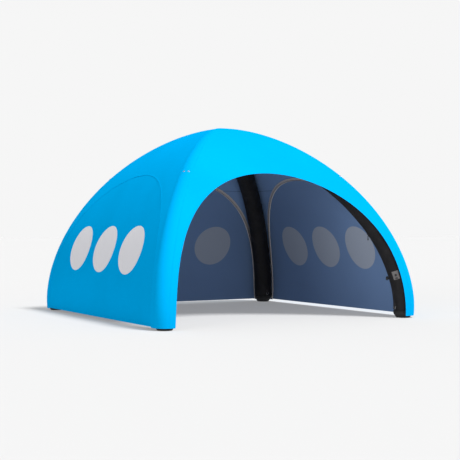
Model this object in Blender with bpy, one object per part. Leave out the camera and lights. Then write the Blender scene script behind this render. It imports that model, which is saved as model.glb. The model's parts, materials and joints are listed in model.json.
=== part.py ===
"""Four-legged air-beam shelter: a square dome on inflated arches, with three zip-in walls.

Metres, +Z up, the floor at Z = 0 and the tent's centre on the Z axis.  The open side faces -Y.
Each leg's centre line is a superellipse in a vertical plane through the tent's diagonal, and every
side of the canopy is ruled along X or Y, tangent to the two legs beside it.
"""
import math

import bmesh
import bpy
import numpy as np
from mathutils import Matrix, Vector

# Leg centre line: (rho / REACH) ^ SPREAD_POWER + ((z - BULGE_HEIGHT) / RISE) ^ RISE_POWER = 1
REACH = 2.625
RISE = 2.390
BULGE_HEIGHT = 0.163
SPREAD_POWER = 1.68
RISE_POWER = 1.81

# Air beams
SLEEVE_RADIUS = 0.135
SLEEVE_WALL = 0.002
BLADDER_RADIUS = 0.1325
SLEEVE_BOTTOM = 0.108
BLADDER_BOTTOM = 0.165
CHAMBER_WALL = 0.003
CHAMBER_MOUTH = 0.026
CROWN_RADIUS = 0.205
CROWN_HALF_HEIGHT = 0.138
CROWN_ARC = 82.0
BEAM_END = 0.225
BEAM_SIDES = 14
BEAM_STATIONS = 12

# Relief valve, measured from the crown chamber's mouth
RELIEF_STEM_RADIUS = 0.024
RELIEF_STEM_LENGTH = 0.020
RELIEF_FLANGE_RADIUS = 0.034
RELIEF_FACE_RADIUS = 0.020
RELIEF_SEAT_GAP = 0.001
RELIEF_RIM_DROP = 0.008
RELIEF_FACE_DROP = 0.014

# Feet
FOOT_FLAT_RADIUS = 0.091
FOOT_ROLL_WIDTH = 0.014
FOOT_ROLL_HEIGHT = 0.008
FOOT_WAIST_INSET = 0.010
FOOT_WAIST_HEIGHT = 0.045
FOOT_CHAMFER_HEIGHT = 0.074
FOOT_TOP = 0.100
FOOT_SPIGOT_RADIUS = 0.118
FOOT_SPIGOT_TOP = 0.160

# Canopy
CANOPY_OFFSET = 0.152
CANOPY_THICK = 0.003
COVER_BOTTOM = 0.030
COVER_FLAP = 0.110
CROWN_SEAM = 0.300
COVER_COLUMNS = 7
SEAM_GAP = 0.002
APEX_REACH = 0.012
ROOF_STEPS = (0, 0.3, 0.65, 1)
ROOF_TIP_TRIM = 0.12
LOW_ROWS = 7
HIGH_ROWS = 7
CROWN_COLUMNS = 3
CROWN_ROWS = 6

# Arch openings, the same on all four sides:
# (x / ARCH_HALF) ^ 2 + ((z - ARCH_BASE) / (ARCH_TOP - ARCH_BASE)) ^ ARCH_POWER = 1
ARCH_HALF = 1.783
ARCH_TOP = 1.985
ARCH_BASE = -0.213
ARCH_POWER = 2.78
NEARLY_TOP = ARCH_TOP - 1e-6
WALL_BOTTOM = 0.042
WALL_STEPS = (-1, -0.33, 0.33, 1)
WALL_TIP_HALF = 0.030
TAPE_WIDTH = 0.055
BINDING_WIDTH = 0.033
TAPE_THICK = 0.002
TAPE_DEPTH = 0.010

# Zip sliders
SLIDER_DEPTH = 0.021
SLIDER_SIZE = (0.022, 0.008, 0.034)
SLIDER_BRIDGE = 0.004
SLIDER_BRIDGE_SPAN = (-0.012, -0.008, -0.001, 0.003)
SLIDER_NECK = 0.75
SLIDER_LOW = 0.120
SLIDER_HIGH = 0.620
PULL_SIZE = (0.012, 0.002, 0.042)
PULL_GAP = 0.0006
PULL_EYE_RADIUS = 0.0022
PULL_BEVEL = 0.0006
STUD_RADIUS = 0.0018
STUD_HEAD_RADIUS = 0.0040
STUD_HEAD_CROWN = 0.001
STUD_PLACE = -0.0045

# Battery, pump, controls and valve, all in the front right leg, which holds its air above them
PUMP_LEG = "front_right"
BATTERY_SPAN = (0.165, 0.495)
PUMP_SPAN = (0.500, 0.955)
PUMP_LEG_BLADDER_BOTTOM = 0.960
PANEL_HEIGHT = 0.595
PANEL_TURN = 50.0
PANEL_SIZE = (0.088, 0.120)
PANEL_THICK = 0.006
PANEL_LIFT = 0.001
PANEL_COLUMNS = 9
WINDOW_SIZE = (0.72 * PANEL_SIZE[0], 0.06, 0.78 * PANEL_SIZE[1])
BUTTON_RADIUS = 0.015
BUTTON_CLEARANCE = 0.001
BUTTON_DEPTH = 0.016
BUTTON_RISE = 0.006
BUTTON_SHOULDER = 0.004
BUTTON_CHAMFER = 0.003
PORT_SIZE = (0.036, 0.020)
PORT_DROP = 0.042
PORT_RECESS = 0.0035
PORT_RIM = 0.008
PORT_COVER_THICK = 0.003
PORT_COVER_GAP = 0.0008
PORT_COVER_BEVEL = 0.0008
VALVE_HEIGHT = 0.585
VALVE_STEM_RADIUS = 0.017
VALVE_STEM_DEPTH = 0.018
VALVE_BORE_GAP = 0.001
VALVE_FLANGE_RADIUS = 0.032
VALVE_FLANGE_SPAN = (0.001, 0.005)
VALVE_NECK_RADIUS = 0.020
VALVE_NECK_SPAN = (0.008, 0.016)
VALVE_CAP_RADIUS = 0.024
VALVE_CAP_SIDE = 0.009
VALVE_CAP_TOP = 0.012
VALVE_CAP_CHAMFER = 0.003
VALVE_CAP_PLACE = 0.0165
VALVE_HINGE_DROP = 0.028

# Patches that carry the guy-line eyelets, over each leg's ridge
EYELET_HEIGHT = 1.965
PATCH_HALF_TURN = 0.34
PATCH_LENGTH = 0.040
PATCH_LIFT = 0.002
PATCH_THICK = 0.0025
PATCH_COLUMNS = 7

# Compass direction from the pump leg towards the tent's middle
INWARD = 135.0

# Webbing tabs: height, width, the fold's inner and outer radius, and how far out its bar sits
TAB_GAP = 0.0005
ANCHOR_TAB = (0.045, 0.026, 0.0034, 0.0056, 0.0078)
LOOP_TAB = (0.040, 0.018, 0.0040, 0.0062, 0.0088)
ANCHOR_HEIGHT = 0.165
RING_HALF_WIDTH = 0.019
RING_DROP = 0.016
RING_WIRE = 0.0025
LOOP_HEIGHT = 1.205
LOOP_HALF_WIDTH = 0.013
LOOP_WIRE = 0.0030

# The loop's outline below its bar: share of its half width, and height
LOOP_SHOULDER = (1.0, -0.010)
LOOP_WAIST = (0.55, -0.022)
LOOP_SWELL = (0.9, -0.034)
LOOP_BEND_DROP = 0.038

# Facets of the round solids, and how far a hole's cutter reaches past its middle
ROUND_SIDES = 20
STUD_SIDES = 12
RELIEF_SIDES = 16
WIRE_SIDES = 6
CUTTER_REACH = 0.03
UPRIGHT = Matrix.Rotation(math.radians(-90), 4, "X")

LEGS = {"front_left": (-1, -1), "front_right": (1, -1), "rear_right": (1, 1), "rear_left": (-1, 1)}
SIDES = {"front": 0, "right": 90, "rear": 180, "left": 270}


# ---------------------------------------------------------------- materials and mesh helpers

def material(name, colour, roughness, metallic):
    mat = bpy.data.materials.new(name)
    mat.use_nodes = True
    shader = mat.node_tree.nodes["Principled BSDF"]
    shader.inputs["Base Color"].default_value = (*colour, 1.0)
    shader.inputs["Roughness"].default_value = roughness
    shader.inputs["Metallic"].default_value = metallic
    mat.diffuse_color = (*colour, 1.0)
    return mat


COLOURS = {
    "canopy_fabric": ((0.0, 0.60, 0.99), 0.60, 0.0),
    "wall_fabric": ((0.0, 0.35, 0.72), 0.62, 0.0),
    "sleeve_fabric": ((0.022, 0.018, 0.020), 0.55, 0.0),
    "bladder_film": ((0.75, 0.76, 0.74), 0.35, 0.0),
    "rubber_black": ((0.012, 0.012, 0.013), 0.70, 0.0),
    "plastic_black": ((0.020, 0.020, 0.022), 0.45, 0.0),
    "plastic_grey": ((0.085, 0.080, 0.080), 0.50, 0.0),
    "tape_grey": ((0.120, 0.115, 0.110), 0.70, 0.0),
    "webbing": ((0.030, 0.028, 0.030), 0.75, 0.0),
    "ring_steel": ((0.42, 0.42, 0.43), 0.30, 1.0),
}


def add_mesh(name, verts, faces, slot, matrix=None, parent=None):
    """A closed mesh object; verts are in the object's own space and matrix places it."""
    mesh = bpy.data.meshes.new(name)
    mesh.from_pydata([tuple(v) for v in verts], [], faces)
    work = bmesh.new()
    work.from_mesh(mesh)
    bmesh.ops.recalc_face_normals(work, faces=work.faces)
    work.to_mesh(mesh)
    work.free()
    mesh.shade_smooth()
    mesh.set_sharp_from_angle(angle=math.radians(35))
    obj = bpy.data.objects.new(name, mesh)
    bpy.context.collection.objects.link(obj)
    colour, roughness, metallic = COLOURS[slot]
    obj.data.materials.append(material(name, colour, roughness, metallic))
    obj.matrix_world = matrix if matrix is not None else Matrix.Identity(4)
    if parent is not None:
        obj.parent = parent
        obj.matrix_parent_inverse = parent.matrix_world.inverted()
    return obj


def empty_at(name, point):
    empty = bpy.data.objects.new(name, None)
    empty.matrix_world = Matrix.Translation(point)
    bpy.context.collection.objects.link(empty)
    return empty


def grid_solid(outer, inner):
    """Vertices and faces of the solid between two matching grids of points."""
    rows, cols = len(outer), len(outer[0])
    verts = [p for row in outer for p in row] + [p for row in inner for p in row]
    shift = rows * cols

    def at(i, j, side):
        return i * cols + j + side * shift

    faces = []
    for i in range(rows - 1):
        for j in range(cols - 1):
            faces.append((at(i, j, 0), at(i, j + 1, 0), at(i + 1, j + 1, 0), at(i + 1, j, 0)))
            faces.append((at(i, j, 1), at(i + 1, j, 1), at(i + 1, j + 1, 1), at(i, j + 1, 1)))
    for i in range(rows - 1):
        faces.append((at(i, 0, 0), at(i + 1, 0, 0), at(i + 1, 0, 1), at(i, 0, 1)))
        k = cols - 1
        faces.append((at(i, k, 0), at(i, k, 1), at(i + 1, k, 1), at(i + 1, k, 0)))
    for j in range(cols - 1):
        faces.append((at(0, j, 0), at(0, j, 1), at(0, j + 1, 1), at(0, j + 1, 0)))
        k = rows - 1
        faces.append((at(k, j, 0), at(k, j + 1, 0), at(k, j + 1, 1), at(k, j, 1)))
    return verts, faces


def ring_solid(rings, closed_path=False):
    """Skin over a list of equal rings, with its ends filled or the path closed on itself."""
    count = len(rings[0])
    verts = [p for ring in rings for p in ring]
    faces = []
    steps = len(rings) if closed_path else len(rings) - 1
    for i in range(steps):
        k = (i + 1) % len(rings)
        for j in range(count):
            n = (j + 1) % count
            faces.append((i * count + j, i * count + n, k * count + n, k * count + j))
    if not closed_path:
        faces.append(tuple(range(count)))
        faces.append(tuple((len(rings) - 1) * count + j for j in range(count)))
    return verts, faces


def turned(profile, segments):
    """Solid of revolution about local Z; profile is (radius, z), radius 0 only at its two ends."""
    verts, faces, loops = [], [], []
    for radius, z in profile:
        if radius == 0:
            loops.append([len(verts)] * segments)
            verts.append((0, 0, z))
            continue
        loops.append([len(verts) + k for k in range(segments)])
        for k in range(segments):
            turn = 2 * math.pi * k / segments
            verts.append((radius * math.cos(turn), radius * math.sin(turn), z))
    pairs = list(zip(loops, loops[1:]))
    if profile[0][0] != 0:
        pairs.append((loops[-1], loops[0]))
    for low, high in pairs:
        for k in range(segments):
            n = (k + 1) % segments
            quad = [low[k], low[n], high[n], high[k]]
            faces.append(tuple(dict.fromkeys(quad)))
    return verts, faces


def rod(radius, reach):
    """Cylinder centred on the origin, as a cutter for a round hole."""
    return turned([(0, -reach), (radius, -reach), (radius, reach), (0, reach)], ROUND_SIDES)


def block(size, centre=(0, 0, 0), bevel=0.0):
    """Box with its edges bevelled, as vertices and faces."""
    work = bmesh.new()
    bmesh.ops.create_cube(work, size=1.0)
    bmesh.ops.scale(work, vec=size, verts=work.verts)
    if bevel:
        bmesh.ops.bevel(work, geom=work.edges[:], offset=bevel, segments=1, affect="EDGES")
    bmesh.ops.translate(work, vec=centre, verts=work.verts)
    work.verts.index_update()
    verts = [v.co[:] for v in work.verts]
    faces = [tuple(v.index for v in f.verts) for f in work.faces]
    work.free()
    return verts, faces


def swept_loop(path, radius, sides):
    """Round wire along a closed path that lies in the local XZ plane."""
    count = len(path)
    rings = []
    for i in range(count):
        before, after = Vector(path[i - 1]), Vector(path[(i + 1) % count])
        along = (after - before).normalized()
        across = Vector((0, 1, 0))
        third = along.cross(across)
        rings.append([
            Vector(path[i]) + radius * (math.cos(t) * across + math.sin(t) * third)
            for t in (2 * math.pi * k / sides for k in range(sides))])
    return ring_solid(rings, closed_path=True)


def extruded(outline, width):
    """Outline of (y, z) points extruded along local X, centred."""
    half = width / 2
    verts = [(-half, y, z) for y, z in outline] + [(half, y, z) for y, z in outline]
    n = len(outline)
    faces = [tuple(range(n)), tuple(range(2 * n - 1, n - 1, -1))]
    faces += [(i, (i + 1) % n, n + (i + 1) % n, n + i) for i in range(n)]
    return verts, faces


def combine(obj, other, operation):
    """Boolean with a hidden second shape."""
    other.hide_render = True
    other.display_type = "WIRE"
    boolean = obj.modifiers.new(operation.lower(), "BOOLEAN")
    boolean.operation = operation
    boolean.solver = "EXACT"
    boolean.object = other


def cut(obj, cutter):
    combine(obj, cutter, "DIFFERENCE")


def join(obj, other):
    combine(obj, other, "UNION")


# ---------------------------------------------------------------- the legs' curve

def centre(angle):
    """Distance from the tent's axis and height of a leg's centre line."""
    c, s = math.cos(angle), math.sin(angle)
    rho = REACH * abs(c) ** (2 / SPREAD_POWER)
    z = BULGE_HEIGHT + RISE * math.copysign(abs(s) ** (2 / RISE_POWER), s)
    return rho, z


def slope(angle, stretch=1.0):
    """Unit tangent towards the crown, with rho multiplied by stretch first."""
    step = 1e-4
    r0, z0 = centre(angle - step)
    r1, z1 = centre(angle + step)
    dr, dz = (r1 - r0) * stretch, z1 - z0
    length = math.hypot(dr, dz)
    return dr / length, dz / length


def angle_at_centre_height(z):
    s = abs(z - BULGE_HEIGHT) / RISE
    return math.copysign(math.asin(s ** (RISE_POWER / 2)), z - BULGE_HEIGHT)


def angle_at_reach(rho):
    return math.acos((rho / REACH) ** (SPREAD_POWER / 2))


def angles_between(start, end, count):
    """Angles evenly spaced along the curve's length."""
    fine = np.linspace(start, end, 400)
    points = np.array([centre(a) for a in fine])
    run = np.concatenate([[0], np.cumsum(np.hypot(*np.diff(points, axis=0).T))])
    return [float(a) for a in np.interp(np.linspace(0, run[-1], count), run, fine)]


def leg_frame(leg, angle):
    """Centre point, tangent, outward normal and horizontal binormal of a leg."""
    dx, dy = LEGS[leg]
    out = Vector((dx, dy, 0)) / math.sqrt(2)
    rho, z = centre(angle)
    tr, tz = slope(angle)
    tangent = out * tr + Vector((0, 0, tz))
    normal = out * tz - Vector((0, 0, tr))
    side = Vector((-dy, dx, 0)) / math.sqrt(2)
    return out * rho + Vector((0, 0, z)), tangent, normal, side


def leg_ring(leg, angle, radius, sides):
    point, _, normal, side = leg_frame(leg, angle)
    turns = [2 * math.pi * k / sides for k in range(sides)]
    return [point + radius * (math.cos(t) * normal + math.sin(t) * side) for t in turns]


BEAM_ANGLES = angles_between(angle_at_centre_height(SLEEVE_BOTTOM), angle_at_reach(BEAM_END),
                             BEAM_STATIONS)


def beam_place(leg, height):
    """Centre point and direction of a beam at a height, on the straight run between stations."""
    points = [leg_frame(leg, a)[0] for a in BEAM_ANGLES]
    k = max([i for i, p in enumerate(points[:-1]) if p.z <= height], default=0)
    start, end = points[k], points[k + 1]
    part = (height - start.z) / (end.z - start.z)
    return start + part * (end - start), (end - start).normalized()


def fitting_matrix(leg, height, facing_degrees, radius):
    """Frame on a leg's surface: local Y out of the leg, local Z up along it.

    facing_degrees is the compass direction, 0 along +X and 90 along +Y.
    """
    point, tangent = beam_place(leg, height)
    turn = math.radians(facing_degrees)
    facing = Vector((math.cos(turn), math.sin(turn), 0))
    out = (facing - tangent * facing.dot(tangent)).normalized()
    across = out.cross(tangent)
    frame = Matrix((across, out, tangent)).transposed().to_4x4()
    return Matrix.Translation(point + radius * out) @ frame


# ---------------------------------------------------------------- the canopy's surface

def side_profile(angle, offset):
    """Distance from the tent's axis and height of a side's ruled surface."""
    rho, z = centre(angle)
    tr, tz = slope(angle, stretch=1 / math.sqrt(2))
    return rho / math.sqrt(2) + offset * tz, z - offset * tr


def side_point(side, x, angle, depth=0.0):
    """Point x along a side, as seen on the front side and turned to the named one."""
    h, z = side_profile(angle, CANOPY_OFFSET - depth)
    return Matrix.Rotation(math.radians(SIDES[side]), 3, "Z") @ Vector((x, -h, z))


_FINE = np.linspace(angle_at_centre_height(0.0), math.pi / 2 - 1e-3, 3000)
_FINE_HEIGHTS = [side_profile(a, CANOPY_OFFSET)[1] for a in _FINE]


def angle_at_height(z):
    return float(np.interp(z, _FINE_HEIGHTS, _FINE))


def arch_half_width(z):
    """Half the opening's width at a height, 0 above its top."""
    up = max(0.0, (z - ARCH_BASE) / (ARCH_TOP - ARCH_BASE))
    return ARCH_HALF * math.sqrt(max(0.0, 1 - up ** ARCH_POWER))


def arch_heights(low, high, count):
    """Heights that space points evenly round the arch, from low to high."""
    def turn(z):
        return math.asin(((z - ARCH_BASE) / (ARCH_TOP - ARCH_BASE)) ** (ARCH_POWER / 2))
    turns = np.linspace(turn(low), turn(high), count)
    return [ARCH_BASE + (ARCH_TOP - ARCH_BASE) * math.sin(t) ** (2 / ARCH_POWER) for t in turns]


def flap_edge(angle):
    """Where a leg cover's flap ends, measured along the side from its middle."""
    rho, _ = centre(angle)
    _, z = side_profile(angle, CANOPY_OFFSET)
    return max(arch_half_width(z), rho / math.sqrt(2) - COVER_FLAP)


def split_height():
    """Height where the arch leaves the leg covers and the roof panels begin."""
    heights = np.linspace(0.3, ARCH_TOP, 4000)
    for z in heights:
        rho, _ = centre(angle_at_height(z))
        if arch_half_width(z) < rho / math.sqrt(2) - COVER_FLAP:
            return float(z)
    return ARCH_TOP


SPLIT_HEIGHT = split_height()
LOW_ANGLES = [angle_at_height(z) for z in arch_heights(WALL_BOTTOM, SPLIT_HEIGHT, LOW_ROWS)]
HIGH_ANGLES = angles_between(LOW_ANGLES[-1], angle_at_reach(CROWN_SEAM * math.sqrt(2)), HIGH_ROWS)
ARCH_STATIONS = arch_heights(SPLIT_HEIGHT, NEARLY_TOP, HIGH_ROWS + CROWN_COLUMNS)


def cover_row(leg, angle, depth, bottom=False):
    """Points across a leg cover: flap, tube side and flap, at one place along the leg."""
    dx, dy = LEGS[leg]
    point, _, normal, side = leg_frame(leg, angle)
    offset = CANOPY_OFFSET - depth
    spread = math.atan(math.hypot(normal.x, normal.y))
    h, z = side_profile(angle, offset)
    edge = flap_edge(angle)
    row = []
    for t in np.linspace(-1, 1, COVER_COLUMNS):
        turn = spread * t
        row.append(point + offset * (math.cos(turn) * normal + math.sin(turn) * side))
    corner_start, corner_end = row[0], row[-1]
    start = Vector((dx * edge, dy * h, z)) if abs(corner_start.y) > abs(corner_start.x) else \
        Vector((dx * h, dy * edge, z))
    end = Vector((dx * edge, dy * h, z)) if abs(corner_end.y) > abs(corner_end.x) else \
        Vector((dx * h, dy * edge, z))
    row = [start] + row + [end]
    if bottom:
        row = [Vector((p.x, p.y, COVER_BOTTOM)) for p in row]
    return row


def cover_rows(leg, depth):
    rows = [cover_row(leg, LOW_ANGLES[0], depth, bottom=True)]
    return rows + [cover_row(leg, a, depth) for a in LOW_ANGLES[:-1] + HIGH_ANGLES]


def make_leg_cover(leg):
    verts, faces = grid_solid(cover_rows(leg, 0), cover_rows(leg, CANOPY_THICK))
    add_mesh("leg_cover_" + leg, verts, faces, "canopy_fabric")


def roof_panel_grid(side, depth):
    """Rows run from the arch edge out to the seams with the leg covers and the crown."""
    half = []
    for k, z in enumerate(ARCH_STATIONS):
        inner = (arch_half_width(z), angle_at_height(z))
        if k < HIGH_ROWS:
            angle = HIGH_ANGLES[k]
            outer = (centre(angle)[0] / math.sqrt(2) - COVER_FLAP - SEAM_GAP, angle)
        else:
            seam = centre(HIGH_ANGLES[-1])[0] / math.sqrt(2) - COVER_FLAP - SEAM_GAP
            outer = (seam * (1 - (k - HIGH_ROWS + 1) / CROWN_COLUMNS), HIGH_ANGLES[-1])
        half.append((inner, outer))
    rows = []
    for sign, spans in ((-1, half), (1, half[-2::-1])):
        for (x0, a0), (x1, a1) in spans:
            row = []
            for t in ROOF_STEPS:
                angle = a0 + (a1 - a0) * t
                row.append(side_point(side, sign * (x0 + (x1 - x0) * t), angle, depth))
            rows.append(row)
    rows[0] = [p.lerp(q, ROOF_TIP_TRIM) for p, q in zip(rows[0], rows[1])]
    rows[-1] = [p.lerp(q, ROOF_TIP_TRIM) for p, q in zip(rows[-1], rows[-2])]
    return rows


def make_roof_panel(side):
    verts, faces = grid_solid(roof_panel_grid(side, 0), roof_panel_grid(side, CANOPY_THICK))
    add_mesh("roof_panel_" + side, verts, faces, "canopy_fabric")


def crown_loop(angle, depth):
    """Closed loop of points round the canopy at one place along the legs."""
    loop = []
    offset = CANOPY_OFFSET - depth
    for leg in LEGS:
        point, _, normal, side = leg_frame(leg, angle)
        spread = math.atan(math.hypot(normal.x, normal.y))
        for t in (-1, 0, 1):
            turn = spread * t
            loop.append(point + offset * (math.cos(turn) * normal + math.sin(turn) * side))
    return loop


def make_crown_cover():
    """Small domed panel that closes the roof where the four panels and covers meet."""
    seam = HIGH_ANGLES[-1] + SEAM_GAP / REACH * 2
    angles = angles_between(seam, angle_at_reach(APEX_REACH), CROWN_ROWS)
    top = [crown_loop(a, 0) for a in angles]
    under = [crown_loop(a, CANOPY_THICK) for a in reversed(angles)]
    verts, faces = ring_solid(under + top)
    add_mesh("crown_cover", verts, faces, "canopy_fabric")


def wall_rows(side, depth):
    places = [(arch_half_width(side_profile(a, CANOPY_OFFSET)[1]), a) for a in LOW_ANGLES[:-1]]
    places += [(arch_half_width(z), angle_at_height(z)) for z in ARCH_STATIONS[:-1]]
    places.append((WALL_TIP_HALF + SEAM_GAP, angle_at_height(ARCH_TOP - 2 * SEAM_GAP)))
    rows = []
    for half, angle in places:
        rows.append([side_point(side, (half - SEAM_GAP) * t, angle, depth)
                     for t in WALL_STEPS])
    return rows


def make_wall(side):
    verts, faces = grid_solid(wall_rows(side, 0), wall_rows(side, CANOPY_THICK))
    add_mesh("wall_" + side, verts, faces, "wall_fabric")


def arch_path(side, depth, count=15):
    """Points along a side's whole arch from one foot to the other, with the way across it."""
    heights = arch_heights(WALL_BOTTOM, NEARLY_TOP, count)
    places = [(-arch_half_width(z), z) for z in heights]
    places += [(-x, z) for x, z in places[-2::-1]]
    points = [side_point(side, x, angle_at_height(z), depth) for x, z in places]
    out = [(side_point(side, x, angle_at_height(z), 0) - p).normalized()
           for (x, z), p in zip(places, points)]
    across = []
    for i, normal in enumerate(out):
        along = (points[min(i + 1, len(points) - 1)] - points[max(i - 1, 0)]).normalized()
        across.append(normal.cross(along).normalized())
    return points, out, across


def make_arch_band(name, side, width):
    """Flat band behind an arch's edge: the zip tape of a wall, or the open front's binding."""
    points, out, across = arch_path(side, TAPE_DEPTH)
    corners = ((-1, 0), (1, 0), (1, -1), (-1, -1))
    rings = []
    for point, normal, sideways in zip(points, out, across):
        rings.append([point + sideways * width / 2 * a + normal * TAPE_THICK * b for a, b in corners])
    verts, faces = ring_solid(rings)
    add_mesh(name, verts, faces, "tape_grey")


# ---------------------------------------------------------------- air beams and feet

def beam_rings(leg, radius, bottom, top=None):
    """Rings along a beam from a height up to another, or to the beam's end.

    All radii share the same stations and flats.
    """
    rings = [leg_ring(leg, a, radius, BEAM_SIDES) for a in BEAM_ANGLES]
    heights = [centre(a)[1] for a in BEAM_ANGLES]

    def ring_at(height):
        k = max(i for i, z in enumerate(heights[:-1]) if z <= height + 1e-6)
        part = (height - heights[k]) / (heights[k + 1] - heights[k])
        return [p.lerp(q, part) for p, q in zip(rings[k], rings[k + 1])]

    above = [(ring, z) for ring, z in zip(rings, heights) if z > bottom + 1e-3]
    if top is None:
        return [ring_at(bottom)] + [ring for ring, _ in above]
    return [ring_at(bottom)] + [ring for ring, z in above if z < top - 1e-3] + [ring_at(top)]


def make_sleeve(leg):
    outside = beam_rings(leg, SLEEVE_RADIUS, SLEEVE_BOTTOM)
    inside = beam_rings(leg, SLEEVE_RADIUS - SLEEVE_WALL, SLEEVE_BOTTOM)[::-1]
    verts, faces = ring_solid(outside + inside, closed_path=True)
    return add_mesh("air_sleeve_" + leg, verts, faces, "sleeve_fabric")


def make_bladder(leg):
    """The inflated tube inside a sleeve, with the air that fills it."""
    bottom = PUMP_LEG_BLADDER_BOTTOM if leg == PUMP_LEG else BLADDER_BOTTOM
    verts, faces = ring_solid(beam_rings(leg, BLADDER_RADIUS, bottom))
    add_mesh("air_bladder_" + leg, verts, faces, "bladder_film")


def make_foot(leg):
    profile = [(0, 0), (FOOT_FLAT_RADIUS, 0), (FOOT_FLAT_RADIUS + FOOT_ROLL_WIDTH, FOOT_ROLL_HEIGHT),
               (SLEEVE_RADIUS - FOOT_WAIST_INSET, FOOT_WAIST_HEIGHT),
               (SLEEVE_RADIUS, FOOT_CHAMFER_HEIGHT),
               (SLEEVE_RADIUS, FOOT_TOP), (FOOT_SPIGOT_RADIUS, FOOT_TOP),
               (FOOT_SPIGOT_RADIUS, FOOT_SPIGOT_TOP), (0, FOOT_SPIGOT_TOP)]
    point, _, _, _ = leg_frame(leg, angle_at_centre_height(FOOT_CHAMFER_HEIGHT))
    verts, faces = turned(profile, ROUND_SIDES)
    place = Matrix.Translation((point.x, point.y, 0))
    add_mesh("foot_cap_" + leg, verts, faces, "rubber_black", place)


def make_crown_chamber():
    """Air chamber under the roof's top, where the four beams meet, open below for its valve."""
    wall, mouth = CHAMBER_WALL, CHAMBER_MOUTH
    outer = [(CROWN_RADIUS * math.cos(t), CROWN_HALF_HEIGHT * math.sin(t))
             for t in np.radians(np.linspace(CROWN_ARC, -CROWN_ARC, 9))]
    outer[-1] = (mouth, -CROWN_HALF_HEIGHT)
    outer[0] = (0, CROWN_HALF_HEIGHT)
    inner = [(max(r - wall, 0), z * (1 - wall / CROWN_HALF_HEIGHT)) for r, z in reversed(outer)]
    inner[0] = (mouth, -CROWN_HALF_HEIGHT + wall)
    verts, faces = turned(outer + inner, ROUND_SIDES)
    place = Matrix.Translation((0, 0, BULGE_HEIGHT + RISE))
    add_mesh("crown_chamber", verts, faces, "sleeve_fabric", place)


def make_relief_valve():
    """Over-pressure valve in the crown chamber's mouth."""
    mouth = -CROWN_HALF_HEIGHT
    face, rim, seat = (mouth - d for d in (RELIEF_FACE_DROP, RELIEF_RIM_DROP, RELIEF_SEAT_GAP))
    profile = [(0, face), (RELIEF_FACE_RADIUS, face), (RELIEF_FLANGE_RADIUS, rim),
               (RELIEF_FLANGE_RADIUS, seat), (RELIEF_STEM_RADIUS, seat),
               (RELIEF_STEM_RADIUS, mouth + RELIEF_STEM_LENGTH), (0, mouth + RELIEF_STEM_LENGTH)]
    verts, faces = turned(profile, RELIEF_SIDES)
    place = Matrix.Translation((0, 0, BULGE_HEIGHT + RISE))
    add_mesh("relief_valve", verts, faces, "plastic_black", place)


# ---------------------------------------------------------------- fittings

def curved_plate(radius, thick, width, height, columns):
    """Plate bent round a leg, in the frame of fitting_matrix at radius 0."""
    half = width / 2 / radius
    rows_out, rows_in = [], []
    for z in (-height / 2, height / 2):
        turns = np.linspace(-half, half, columns)
        rows_out.append([(math.sin(t) * (radius + thick), math.cos(t) * (radius + thick), z)
                         for t in turns])
        rows_in.append([(math.sin(t) * radius, math.cos(t) * radius, z) for t in turns])
    return grid_solid(rows_out, rows_in)


def make_pump_panel(sleeve, pump):
    """Control panel on the pump leg, with its button and port cover, over a window in the sleeve."""
    place = fitting_matrix(PUMP_LEG, PANEL_HEIGHT, 270 - PANEL_TURN, 0.0)
    base = SLEEVE_RADIUS + PANEL_LIFT
    face = base + PANEL_THICK
    verts, faces = curved_plate(base, PANEL_THICK, *PANEL_SIZE, PANEL_COLUMNS)
    panel = add_mesh("control_panel", verts, faces, "plastic_grey", place)

    verts, faces = block(WINDOW_SIZE, (0, SLEEVE_RADIUS, 0))
    window = add_mesh("panel_window_cutter", verts, faces, "plastic_grey", place)
    cut(sleeve, window)
    cut(pump, window)
    verts, faces = rod(BUTTON_RADIUS + BUTTON_CLEARANCE, CUTTER_REACH)
    hole = place @ Matrix.Translation((0, base, 0)) @ UPRIGHT
    cut(panel, add_mesh("button_hole_cutter", verts, faces, "plastic_grey", hole))
    width, height = PORT_SIZE
    recess = (width - PORT_RIM, 2 * PORT_RECESS, height - PORT_RIM)
    verts, faces = block(recess, (0, face, -PORT_DROP))
    cut(panel, add_mesh("port_recess_cutter", verts, faces, "plastic_grey", place))

    button = [(0, -BUTTON_DEPTH), (BUTTON_RADIUS, -BUTTON_DEPTH), (BUTTON_RADIUS, BUTTON_SHOULDER),
              (BUTTON_RADIUS - BUTTON_CHAMFER, BUTTON_RISE), (0, BUTTON_RISE)]
    verts, faces = turned(button, ROUND_SIDES)
    add_mesh("power_button", verts, faces, "plastic_black",
             place @ Matrix.Translation((0, face, 0)) @ UPRIGHT)

    verts, faces = block((width, PORT_COVER_THICK, height), (0, PORT_COVER_THICK / 2, -height / 2),
                         PORT_COVER_BEVEL)
    top = place @ Matrix.Translation((0, face + PORT_COVER_GAP, height / 2 - PORT_DROP))
    add_mesh("port_cover", verts, faces, "plastic_black", top)


def make_battery():
    verts, faces = ring_solid(beam_rings(PUMP_LEG, BLADDER_RADIUS, *BATTERY_SPAN))
    add_mesh("battery_pack", verts, faces, "plastic_grey")


def make_pump():
    """Pump in its housing, which fills the sleeve between the battery and the bladder."""
    verts, faces = ring_solid(beam_rings(PUMP_LEG, BLADDER_RADIUS, *PUMP_SPAN))
    return add_mesh("pump_unit", verts, faces, "plastic_black")


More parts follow.
